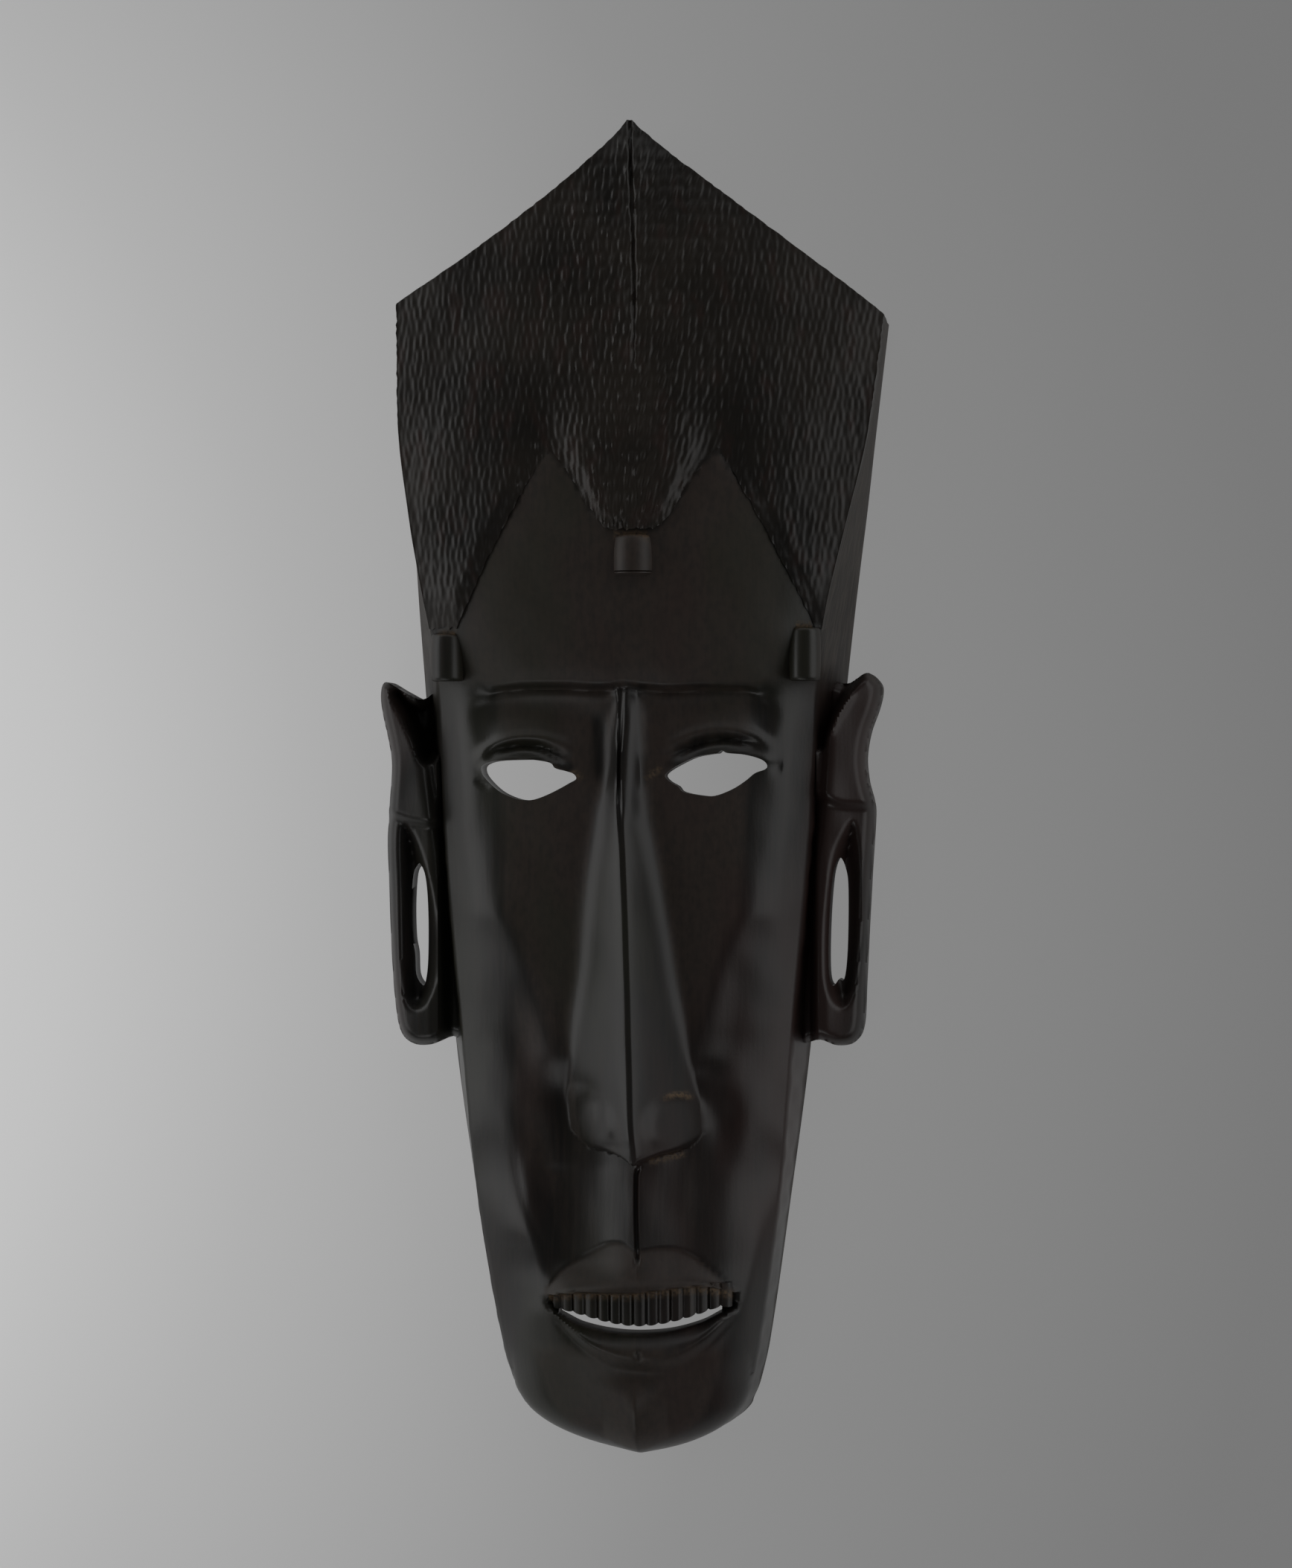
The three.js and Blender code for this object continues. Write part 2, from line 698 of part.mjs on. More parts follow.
function maskSolid() {
  const ear = rightEar();
  const earMiddle = spine((SLOT.top + SLOT.bottom) / 2) + EAR.outward;
  const templeMiddle = spine(TEMPLE_BEAD.y);
  const block = solidFromRows(ROWS.map((y) => rowPoints(y, 0)));
  const added = [
    hair(),
    ear.translate([earMiddle, 0, 0]),
    ear.mirror([1, 0, 0]).translate([earMiddle, -EAR.leftDrop, 0]),
    bead(BEAD, BEAD.x),
    bead(TEMPLE_BEAD, templeMiddle - TEMPLE_BEAD.half),
    bead(TEMPLE_BEAD, templeMiddle + TEMPLE_BEAD.half),
  ];
  const hollowed = added.reduce((whole, piece) => whole.add(piece), block).subtract(cavity());
  const holes = [eyeHole(-1), eyeHole(1), mouthHole()];
  const opened = holes.reduce((whole, cut) => whole.subtract(cut), hollowed);
  return teeth().reduce((whole, tooth) => whole.add(tooth), opened).simplify(SLIVER);
}

function toGeometry(solid) {
  const made = solid.getMesh();
  const geometry = new THREE.BufferGeometry();
  geometry.setAttribute("position", new THREE.BufferAttribute(made.vertProperties, 3));
  geometry.setIndex(new THREE.BufferAttribute(made.triVerts, 1));
  return geometry;
}

// The origin is under the middle of the whole mask
function centred(geometry) {
  geometry.computeBoundingBox();
  const middle = geometry.boundingBox.getCenter(new THREE.Vector3());
  geometry.translate(-middle.x, -middle.y, -geometry.boundingBox.min.z);
  geometry.computeVertexNormals();
  return geometry;
}

const ebony = new THREE.MeshStandardMaterial({ color: 0x1c1714, roughness: 0.38, metalness: 0 });
const mask = new THREE.Mesh(centred(toGeometry(maskSolid())), ebony);
mask.name = "mask";

const group = new THREE.Group();
group.add(mask);

export default group;
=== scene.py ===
# The finish of a long carved ebony mask that lies face up on its flat back rim.
# Shapes are worked out in millimetres, with +X to the right of the face, +Y towards the crown and +Z
# out of the face, and they become metres when a mesh is made.
import math
import bpy
import numpy as np
from mathutils import Matrix, Vector
from types import SimpleNamespace as Sizes


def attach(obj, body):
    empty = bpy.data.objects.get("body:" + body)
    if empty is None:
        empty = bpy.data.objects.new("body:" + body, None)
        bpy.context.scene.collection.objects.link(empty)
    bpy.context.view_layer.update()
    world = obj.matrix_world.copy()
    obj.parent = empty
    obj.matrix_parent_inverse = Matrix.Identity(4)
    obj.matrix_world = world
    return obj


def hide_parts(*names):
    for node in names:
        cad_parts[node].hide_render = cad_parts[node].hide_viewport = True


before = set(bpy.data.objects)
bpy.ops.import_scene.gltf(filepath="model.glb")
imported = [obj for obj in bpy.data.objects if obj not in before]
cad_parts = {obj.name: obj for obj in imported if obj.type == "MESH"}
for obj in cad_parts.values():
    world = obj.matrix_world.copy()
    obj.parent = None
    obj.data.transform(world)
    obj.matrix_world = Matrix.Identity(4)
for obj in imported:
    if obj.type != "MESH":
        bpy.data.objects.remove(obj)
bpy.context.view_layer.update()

MM = 0.001

# The model's origin is under the middle of the whole mask, which is here in the carving's own sizes
ORIGIN = (-1.27, -2.25)

# Heights along the mask
CHIN_TIP = -252.5
JAW_CORNER = -235
BROW = 36
HAIR_FOOT = 58
CROWN_CORNER = 177
CROWN_TIP = 245.8

# Half-widths and the roundness of the outline
JAW_CORNER_HALF = 45.2
CROWN_CORNER_HALF = 90.9
APEX_HALF = 0.8
CROWN_ROUNDING = 1.13
CHIN_ALONG = 1.3
CHIN_ACROSS = 0.7
CHIN_FULLNESS = 0.38
CHIN_TURN = Sizes(above=14, power=2.6, span=(JAW_CORNER + 24, JAW_CORNER - 9))
JAW_WEAR = Sizes(depth=1.5, reach=4.5)
CORNER_DROP = 2.5
PANEL_SHARE = 0.68
BAND_SHARE = 0.84
BAND_BOW = 0.12


def curve(stations):
    """A smooth curve through stations, each a place and the value there, as a function of arrays."""
    place, value = np.array(stations, float).T
    below = np.maximum(np.arange(len(place)) - 1, 0)
    above = np.minimum(np.arange(len(place)) + 1, len(place) - 1)
    slope = (value[above] - value[below]) / (place[above] - place[below])

    def at(p):
        p = np.clip(np.asarray(p, float), place[0], place[-1])
        i = np.clip(np.searchsorted(place, p, side="right") - 1, 0, len(place) - 2)
        span = place[i + 1] - place[i]
        t = (p - place[i]) / span
        ease = t * t * (3 - 2 * t)
        start = t * (1 - t) ** 2
        end = t * t * (t - 1)
        return value[i] + (value[i + 1] - value[i]) * ease + span * (slope[i] * start + slope[i + 1] * end)

    return at


def blend(start, end, value):
    """A soft step from 0 at the start to 1 at the end, which may lie on either side of it."""
    t = np.clip((np.asarray(value, float) - start) / (end - start), 0, 1)
    return t * t * (3 - 2 * t)


def smooth_min(a, b, radius):
    near = np.maximum(radius - np.abs(a - b), 0) / radius
    return np.minimum(a, b) - near * near * radius / 4


def smooth_max(a, b, radius):
    return -smooth_min(-a, -b, radius)


def smooth_path(points, steps=8, closed=False):
    """Points along a smooth curve through the given points."""
    p = np.array(points, float)
    count = len(p)
    made = []
    for i in range(count if closed else count - 1):
        if closed:
            a, b, c, d = (p[(i + k) % count] for k in (-1, 0, 1, 2))
        else:
            a, b, c, d = (p[min(max(i + k, 0), count - 1)] for k in (-1, 0, 1, 2))
        for t in np.arange(steps) / steps:
            made.append(0.5 * (2 * b + (c - a) * t + (2 * a - 5 * b + 4 * c - d) * t ** 2
                               + (3 * b - a - 3 * c + d) * t ** 3))
    if not closed:
        made.append(p[-1])
    return np.array(made)


def path_distance(x, y, path):
    """Distance of each place to a path, and the share of the path's length at its nearest point."""
    step = np.hypot(*np.diff(path, axis=0).T)
    along = np.concatenate([[0], np.cumsum(step)])
    best = np.full(np.shape(x), np.inf)
    share = np.zeros(np.shape(x))
    for k in range(len(path) - 1):
        ax, ay = path[k]
        dx, dy = path[k + 1] - path[k]
        t = np.clip(((x - ax) * dx + (y - ay) * dy) / max(dx * dx + dy * dy, 1e-9), 0, 1)
        distance = np.hypot(x - ax - t * dx, y - ay - t * dy)
        closer = distance < best
        best = np.where(closer, distance, best)
        share = np.where(closer, (along[k] + t * step[k]) / along[-1], share)
    return best, share


def stroke(x, y, points, width, depth, ends=0.15, power=2):
    """A gouge's cut along a smooth path, which fades over a share of the path at both ends."""
    path = smooth_path(points)
    reach = width * 3
    near = ((x > path[:, 0].min() - reach) & (x < path[:, 0].max() + reach)
            & (y > path[:, 1].min() - reach) & (y < path[:, 1].max() + reach))
    cut = np.zeros(np.shape(x))
    if near.any():
        distance, share = path_distance(x[near], y[near], path)
        taper = blend(0, ends, share) * blend(0, ends, 1 - share) if ends else 1.0
        cut[near] = depth * taper * np.exp(-((distance / width) ** power))
    return cut


def strokes(x, y, table):
    """Several cuts together, each by its path, width, depth and the fading share of its ends."""
    return sum(stroke(x, y, *cut) for cut in table)


def mound(x, y, middle, half, power=2):
    """1 in the middle of an oval, falling to 0 outside it."""
    reach = ((x - middle[0]) / half[0]) ** 2 + ((y - middle[1]) / half[1]) ** 2
    return np.exp(-(reach ** (power / 2)))


def mounds(x, y, table):
    """Several mounds and hollows together, each by its height, middle and half-sizes."""
    return sum(height * mound(x, y, *shape) for height, *shape in table)


def swell(value, middle, half, power=2):
    """1 where the value is at the middle, falling to 0 on both sides."""
    return np.exp(-((np.abs(value - middle) / half) ** power))


def inside_outline(x, y, outline):
    """Signed distance to a closed outline: above 0 inside it."""
    closed = np.vstack([outline, outline[:1]])
    distance, _ = path_distance(x, y, closed)
    inside = np.zeros(np.shape(x), bool)
    for (ax, ay), (bx, by) in zip(closed[:-1], closed[1:]):
        if ay == by:
            continue
        crosses = (ay > y) != (by > y)
        inside ^= crosses & (x < (bx - ax) * (y - ay) / (by - ay) + ax)
    return np.where(inside, distance, -distance)


WAVES = Sizes(count=7, lengths=(0.8, 2.2), level=4)


def waves(x, y, size, seed):
    """A smooth random surface between about -1 and 1, with bumps of the given size."""
    random = np.random.RandomState(seed)
    total = np.zeros(np.shape(x))
    for _ in range(WAVES.count):
        angle = random.uniform(0, math.tau)
        length = size * random.uniform(*WAVES.lengths)
        phase = random.uniform(0, math.tau)
        total += np.sin((x * math.cos(angle) + y * math.sin(angle)) * math.tau / length + phase)
    return total / WAVES.level


# The block was not quite straight: its middle wanders sideways, and the nose leans to the right
spine = curve([
    (CHIN_TIP, 2.6), (-240, -0.4), (-223, -1.9), (-127, -3.1), (-45, -3.1), (HAIR_FOOT, -2), (98, -0.8),
    (CROWN_CORNER, 3.5), (192, 4.7), (214, 4.5), (226, 3.4), (CROWN_TIP, 1)])
ridge_line = curve([
    (CHIN_TIP, 3.3), (-205, 3.4), (-180, 2.8), (-146, 2.2), (-141, 3.5), (-123, 2.3), (-69, 0.1),
    (-28, -1.8), (-12, -2.9), (0, -3.4), (14, -3.2), (BROW, -2.6), (85, 1), (CROWN_CORNER, 3.4),
    (CROWN_TIP, 1)])
side_half = curve([
    (JAW_CORNER, JAW_CORNER_HALF), (-212, 51.3), (-155, 60.3), (-98, 68), (44, 81.4), (98, 86.3),
    (135, 88.5), (CROWN_CORNER, CROWN_CORNER_HALF)])
flare = curve([
    (CHIN_TIP, 0.1), (JAW_CORNER, 2.5), (-155, 3.2), (-98, 6), (-41, 6.5), (12, 8), (BROW, 9.5),
    (HAIR_FOOT, 9.5), (98, 5), (135, 0.8), (CROWN_TIP, 0.2)])
edge_height = curve([
    (CHIN_TIP, 11), (JAW_CORNER, 18), (-155, 26), (-98, 28.5), (12, 32), (BROW, 37), (HAIR_FOOT, 47),
    (98, 50), (CROWN_CORNER, 47)])
dome_height = curve([
    (BROW, 59.5), (HAIR_FOOT, 63.5), (90, 67), (120, 68.5), (160, 68.5), (200, 66.5), (230, 62.5),
    (CROWN_TIP, 58)])
dome_power = curve([(BROW, 3.2), (68, 2.6), (100, 2)])
plane_height = curve([
    (CHIN_TIP, 14), (-243, 33), (JAW_CORNER, 42), (-224, 47), (-200, 50), (-170, 51), (-145, 49),
    (-110, 47), (-50, 47), (-8, 50), (BROW, 54)])
plane_curve = curve([
    (CHIN_TIP, 0.002), (JAW_CORNER, 0.006), (-150, 0.007), (-110, 0.003), (-70, 0.0004), (-20, 0.0012),
    (BROW, 0.0024)])
# Half-widths: the front plane ends at the panel's edge, and the polished bands begin at the band's edge
panel_half = curve([
    (CHIN_TIP, 20), (JAW_CORNER, 24), (-200, 29), (-180, 27), (-150, 30), (-120, 29), (-99, 28.5),
    (-88, 32), (-60, 40), (-42, 48), (-25, 53), (-8, 55.7), (BROW, 57), (95, 60)])
UPPER_BAND = [(-68, 51), (-52, 52.5), (-35, 54.8), (-13, 58), (BROW, 60.5), (95, 62)]
band_left = curve([
    (CHIN_TIP, 28), (JAW_CORNER, 31), (-220, 33.5), (-200, 31.5), (-190, 28.5), (-182, 27.5), (-173, 31.5),
    (-166, 35.6), (-155, 40.2), (-136, 44), (-113, 47.6), (-91, 50)] + UPPER_BAND)
band_right = curve([
    (CHIN_TIP, 28), (JAW_CORNER, 31), (-220, 37), (-200, 41), (-182, 43.5), (-160, 45), (-140, 46),
    (-113, 47.6), (-91, 49.5)] + UPPER_BAND)
middle_slope = curve([
    (CHIN_TIP, 0.5), (JAW_CORNER, 0.5), (-200, 0.35), (-150, 0.36), (-100, 0.4), (-60, 0.45), (-20, 0.42),
    (BROW, 0.3)])
nose_left = curve([
    (-200, 13), (-150, 16), (-125, 20.8), (-98, 22.8), (-68, 18.4), (-40, 15), (-14, 9.5), (4, 4),
    (14, 3.2), (BROW, 3), (80, 30)])
nose_right = curve([
    (-200, 13), (-150, 16), (-125, 19.8), (-98, 18.6), (-68, 15.2), (-40, 12), (-12, 9), (10, 7.5),
    (BROW, 7.2), (80, 30)])
nose_height = curve([(-141, 73.5), (-130, 75), (-100, 69.5), (-50, 62), (0, 57), (BROW, 56.6)])
nose_foot = curve([
    (-21.5, -130.5), (-19.4, -134), (-13.9, -136.4), (-6.7, -137.8), (-0.9, -140), (2.4, -142.2),
    (4.9, -140.8), (10.7, -138.6), (19.2, -136.6), (25, -133), (27.5, -129.5)])


def rim_half(y):
    climb = np.clip((CROWN_TIP - y) / (CROWN_TIP - CROWN_CORNER), 0, 1)
    crown = APEX_HALF + (CROWN_CORNER_HALF - APEX_HALF) * climb ** CROWN_ROUNDING
    fall = np.clip((JAW_CORNER - y) / (JAW_CORNER - CHIN_TIP), 0, 1)
    chin_half = APEX_HALF + (JAW_CORNER_HALF - APEX_HALF) * (1 - fall ** CHIN_ALONG) ** CHIN_ACROSS
    worn = JAW_WEAR.depth * swell(y, JAW_CORNER, JAW_WEAR.reach)
    return np.where(y > CROWN_CORNER, crown, np.where(y < JAW_CORNER, chin_half, side_half(y)) - worn)


def front_half(y):
    return np.maximum(rim_half(y) - flare(y), rim_half(y) / 2)


def panel_within(y):
    return np.minimum(panel_half(y), front_half(y) * PANEL_SHARE)


def band_within(y, side):
    return np.minimum(np.where(side < 0, band_left(y), band_right(y)), front_half(y) * BAND_SHARE)


def corner_drop(y):
    return CORNER_DROP * blend(HAIR_FOOT, CROWN_CORNER, y) * rim_half(y) / CROWN_CORNER_HALF


# Hair: where it starts, and how high it stands, which is least at the two peaks of bare forehead
TUFT = Sizes(foot=94, half=7)
PEAK = Sizes(half=32, y=122)
HAIRLINE_SWEEP = 1.15
TEMPLE_HALF = 66.9
HAIR_RAISE = 3.0
HAIR_FORM = [
    (-1.7, (PEAK.half, PEAK.y), (11, 20)), (0.8, (0, 112), (19, 30), 4), (-0.9, (31, 124), (9, 24))]
HAIR_EDGE = Sizes(least=0.3, span=(-1, 13))
TUFT_EDGE = [(0.45, (0, 100), (16, 14), 4)]


def hairline(x):
    side = np.abs(x - ridge_line(PEAK.y))
    rise = (PEAK.y - TUFT.foot) * blend(TUFT.half, PEAK.half, side)
    fall = np.clip((side - PEAK.half) / (TEMPLE_HALF - PEAK.half), 0, 1)
    return TUFT.foot + rise - (PEAK.y - HAIR_FOOT) * fall ** HAIRLINE_SWEEP


def hair_raise(x, y):
    side = np.abs(x - ridge_line(PEAK.y))
    rise = (1 - HAIR_EDGE.least) * blend(*HAIR_EDGE.span, y - hairline(x))
    inward = HAIR_EDGE.least + rise + mounds(side, y, TUFT_EDGE)
    return (HAIR_RAISE + mounds(side, y, HAIR_FORM)) * np.minimum(inward, 1)


# The chisel's marks: their pitch and depth, how they vary, and how they lean and crowd in the tuft
NOTCH = Sizes(across=2.3, along=4.9, depth=0.31, steep=0.28, reach=0.52, fullness=0.6)
JITTER = Sizes(across=0.26, along=0.22, lean=0.16, depth=0.4, cells=(128, 64))
SWAY = Sizes(height=1.2, size=60)
LEAN = Sizes(all=0.05, right=0.24, rise=(-2, 6), fade=(28, 46), left=0.08, left_rise=(0, 25))
DEEPER = Sizes(middle=0.8, away=(0.9, 0.3), hairline=0.5, rise=(16, 0))
CROWN_REACH = 55
OUTWARD = Sizes(aside=1.3, least=-0.1)
SQUEEZE = Sizes(least=0.6, span=(90, 130), half=33)


def notches(x, y):
    """Rows of short scoops with one steep flank each, which faces away from the middle of the crown."""
    middle = ridge_line(y)
    aside = x - middle
    squeeze = SQUEEZE.least + (1 - SQUEEZE.least) * blend(*SQUEEZE.span, y)
    in_tuft = (y < SQUEEZE.span[1]) & (np.abs(aside) < SQUEEZE.half)
    u = np.where(in_tuft, middle + aside / squeeze, x)
    leaning = blend(*LEAN.rise, aside) * (1 - blend(*LEAN.fade, aside))
    lean = LEAN.right * leaning + LEAN.all - LEAN.left * blend(*LEAN.left_rise, -aside)
    away = np.minimum(np.abs(aside) / CROWN_REACH, 1)
    deeper = DEEPER.middle * blend(*DEEPER.away, away)
    deeper = 1 + deeper + DEEPER.hairline * blend(*DEEPER.rise, y - hairline(x))
    random = np.random.RandomState(11)
    columns, rows = JITTER.cells
    table = random.uniform(-1, 1, (columns, rows, 4))
    swayed = y + SWAY.height * waves(x, y, SWAY.size, 12)
    row = np.floor(swayed / NOTCH.along).astype(int)
    height = np.zeros(np.shape(x))
    for j in (row - 1, row, row + 1):
        shift = 0.5 * (j % 2) * (1 - leaning)
        column = np.floor(u / NOTCH.across - shift).astype(int)
        for i in (column - 1, column, column + 1, column + 2):
            sideways, lengthwise, turned, bold = np.moveaxis(table[i % columns, j % rows], -1, 0)
            dv = swayed - (j + 0.5 + JITTER.along * lengthwise) * NOTCH.along
            du = u - (i + shift + JITTER.across * sideways) * NOTCH.across
            du = du - (lean + JITTER.lean * turned) * dv
            outward = np.where(bold + OUTWARD.aside * away > OUTWARD.least, 1, -1)
            across = 0.5 + outward * np.where(x < middle, -1, 1) * du / NOTCH.across
            along = 1 - (dv / (NOTCH.reach * NOTCH.along)) ** 2
            flanks = np.minimum(across / (1 - NOTCH.steep), (1 - across) / NOTCH.steep)
            crest = np.clip(flanks, 0, 1) * np.maximum(along, 0) ** NOTCH.fullness
            height = np.maximum(height, crest * (1 + JITTER.depth * bold))
    return NOTCH.depth * deeper * (height - 1)


# How much of the crown's fall to the sides is a straight slope that folds along the middle
CROWN_FOLD = Sizes(share=0.4, span=(110, 160))
# The crown's dividing cut, and the low swelling that it runs in
PARTING = Sizes(span=(135, 190), swell=0.5, swell_half=5, depth=1.5, half=0.7)
HAIR_RELIEF = Sizes(least=0.6, edge=(0, 2.5), waves=0.3, size=24)


def dome(x, y):
    level = np.minimum(y, CROWN_CORNER)
    across = np.minimum(np.abs(x - spine(y)) / front_half(level), 1)
    fold = CROWN_FOLD.share * blend(*CROWN_FOLD.span, y)
    fall = across ** dome_power(y) * (1 - fold) + across * fold
    return dome_height(y) - (dome_height(level) - edge_height(level)) * fall


def hair_surface(x, y):
    line = y + corner_drop(y) * (x - spine(y)) / front_half(y)
    parting = (PARTING.swell * swell(x, ridge_line(y), PARTING.swell_half)
               - PARTING.depth * swell(x, ridge_line(y), PARTING.half))
    parting = parting * blend(*PARTING.span, y)
    inner = (1 - HAIR_RELIEF.least) * blend(*HAIR_RELIEF.edge, front_half(line) - np.abs(x - spine(line)))
    relief = notches(x, y) * (HAIR_RELIEF.least + inner)
    relief = relief + HAIR_RELIEF.waves * waves(x, y, HAIR_RELIEF.size, 5)
    return dome(x, line) + hair_raise(x, y) + parting + relief


# Brow and eyelids
BROW_GROOVE = Sizes(depth=0.9, above=5, below=2.5)
BROW_CREST = Sizes(height=0.5, below=3.2, half=1.7)
BROW_END = (46, 60)
BROW_REACH = Sizes(middle=1.6, end=10)
brow_line = curve([
    (-64, 33), (-54, 34.8), (-40, 36.4), (-24, 36.5), (-9, 35.8), (-2, 37), (6, 36), (14, 35.3), (28, 35.8),
    (44, 35.4), (54, 33.5)])

# Each eye by its fold, its crease and the edge of its lid
EYES = [
    ([(-60.3, 6.5), (-54.2, 12.6), (-47.3, 16.2), (-40.3, 17.6), (-32, 17.2), (-25.1, 14.8), (-18.7, 10.5)],
     [(-55.5, 9.6), (-50, 12.6), (-43, 14.2), (-37, 14.3), (-31.8, 13), (-25.4, 9.8), (-20.6, 6.6)],
     [(-57.8, 7.2), (-50.4, 10), (-43.4, 10.9), (-36.5, 10.8), (-30.1, 9.4), (-24.8, 7.2), (-19.5, 4.4)]),
    ([(10.5, 10.5), (18.5, 16.6), (26.3, 19.4), (34.6, 20.6), (42.9, 19.5), (49, 16.6), (55, 11.5)],
     [(13.2, 7.4), (19.1, 11.8), (26.6, 15.2), (34.9, 16.6), (42.2, 15.6), (48.5, 13.4)],
     [(12.4, 5), (19.9, 9.2), (28.3, 12.2), (36.6, 13.3), (45, 12.4), (51.1, 11), (55.8, 9.8)])]
FOLD_CUT = (2, -1.5, 0.2)
ABOVE_CUT = (4.5, -1.1, 0.3)
CREASE_CUT = (1.5, 2.2, 0.25)
LID_CUT = (3, -1.9, 0.12, 1)
ABOVE_FOLD = 2.6
BELOW_LID = 1.7
LEFT_EYE_CORNER = [(-59, 1.9), (-56, 0.2), (-52.5, -1.6)]
RIGHT_EYE_CORNER = (1.3, (54.9, 6.6), (1.2, 3))
SOCKETS = [(-1.6, (-34, 26), (24, 8)), (-0.96, (-20, 24), (9, 9)), (-1.4, (32, 28), (24, 8))]

# Between the eyes: a pit at each side of two crests, and short marks of a frown
LEFT_EYE_PIT = [(-13, 31), (-11.6, 20), (-11.2, 8), (-10.4, -4)]
EYE_PITS = [
    (LEFT_EYE_PIT, 4.2, 1.5, 0.3), ([(4.2, 13), (4.6, 6), (4.6, -4)], 1.3, 1.1, 0.45),
    ([(1.2, 33), (1, 22), (0.4, 8), (0.6, -6), (1.8, -16)], 3, -1.6, 0.2),
    ([(-6.6, 32), (-6.4, 22), (-6.6, 8), (-7.4, -6)], 1.8, -0.4, 0.3)]
FROWN = Sizes(count=4, x=3, top=35, width=0.35, depth=0.35)

# Nose
WINGS = [((-13.6, -126.5), (10.5, 12)), ((17.6, -125.5), (11, 12))]
WING = Sizes(height=3, span=(0.15, 1.15))
RIGHT_WING_CREASE = [(12.6, -117.4), (15.5, -115.6), (20, -115.5), (24.2, -117.6)]
WING_CREASES = [([(-13.5, -113.5), (-11, -117.6), (-10.1, -122), (-10.4, -126)], 1, 1, 0.3),
                (RIGHT_WING_CREASE, 1.1, 1, 0.3)]
WING_HOLLOWS = [(1.8, (-17, -112), (6, 3.6)), (1, (-4.5, -134), (5, 1.8))]
NOSE_FACET = Sizes(half=0.9, groove=1.5, rise=(-24, 6), fade=(34, 39))
NOSE_ROUNDING = 1.2
NOSE_SINK = 0.5
NOSE_UNDER = Sizes(span=(-0.5, 2.2), power=0.5, drop=14)

# Muzzle: two planes fall away from the middle line, between valleys and hollows
MUZZLE = Sizes(left=0.5, right=0.26, bow=0.005, span=(10, 43), foot=(-190, -176), top=(-120, -100))
PHILTRUM = Sizes(half=0.85, depth=2.2, top=(-142, -144), foot=(-180.5, -176))
LEFT_VALLEY = [
    (-43, -66), (-41, -84), (-39, -100), (-38, -113), (-37, -126.9), (-35, -138.6), (-31.1, -149.7),
    (-27, -157.5), (-21.5, -165.5)]
MUZZLE_CUTS = [
    (LEFT_VALLEY, 6.5, 1.1, 0.3), ([(-38, -120), (-36, -133), (-33, -145), (-28.5, -155)], 5.5, 0.9, 0.4),
    ([(40, -60), (38.8, -82), (36.6, -96), (34.5, -108)], 6, 0.6, 0.3),
    ([(-46.5, -128), (-44.3, -141), (-42, -152), (-38.4, -163), (-33, -172.5), (-27, -181.5)], 2, 0.4, 0.3)]
CHEEK_HOLLOWS = [(2, (33.5, -125.5), (5, 9)), (1, (28.5, -106.5), (5, 2.6))]

# Lips and mouth
lip_top = curve([
    (-31, -187), (-26.5, -181.8), (-19.6, -177), (-12.7, -173.2), (-8.5, -171.2), (-2.9, -171), (1.4, -174),
    (4.6, -173.4), (12.3, -172.6), (19.3, -173.7), (24.8, -176.8), (29, -180.4), (33, -184.6), (38, -188.5)])
lip_foot = curve([(-32, -191.5), (-20, -190), (0, -189.8), (14, -188.4), (27, -187.6), (40, -190.5)])
lower_lip_foot = curve([
    (-30.3, -195), (-24.2, -203.5), (-13, -212.9), (0.9, -217.6), (14.8, -217), (27.3, -210.1), (38.4, -198)])
mouth_floor = curve([
    (-30.5, -196.5), (-25.8, -199), (-18.8, -202.2), (-7.7, -204.6), (3.4, -205.2), (14.6, -204.2),
    (25.7, -201.2), (32.4, -197.9), (36, -196.5)])
teeth_foot = curve([
    (-32, -195.2), (-24, -196.6), (-18, -198), (-10, -200), (-3, -201.2), (3, -201.6), (10, -201),
    (18, -199.4), (26, -197), (33, -194.8), (40, -195)])
LIP_CUTS = [([(-28, -199), (-20, -207.4), (-13.5, -212), (-5, -215)], 1.8, 0.7),
            ([(2.8, -210.5), (3.2, -212.6), (3.6, -215)], 1.1, 1.2, 0.3)]
MOUTH_MIDDLE = 3.5
LIP_HALF = 35.5
UPPER_LIP = Sizes(edge=-0.9, fullness=3.6, power=1.5, lobe=0.7, lobe_at=0.86, lobe_half=0.12)
LOWER_LIP = Sizes(fullness=4.6, tilt=2, turn=0.4, power=1.8)
GUMS = 3.6
TEETH = Sizes(pitch=4.6, bulge=1.7, z=47.4, back=7.5, half=34.5, tilt=0.05, scallop=0.9)

# Chin: a keel down its middle, with a boss above it and a shallow hollow on each side
CHIN_KEEL = Sizes(x=1.6, left=13, right=12, height=6.5, span=(-236, -222))
CHIN_FORM = [
    (1.5, (2.5, -227), (13, 6)), (-0.9, (3, -219.5), (20, 4.5)), (-1, (-27, -226), (9, 8)),
    (-0.6, (29, -226), (9, 8))]


def face_plane(x, y):
    aside = x - spine(y)
    return plane_height(y) - plane_curve(y) * aside * aside


def cheek_plane(x, y):
    """The front plane, then a narrow middle plane that tilts more."""
    aside = np.abs(x - spine(y))
    panel = panel_within(y)
    edge = plane_height(y) - plane_curve(y) * panel * panel
    return smooth_min(face_plane(x, y), edge - middle_slope(y) * (aside - panel), 1.6)


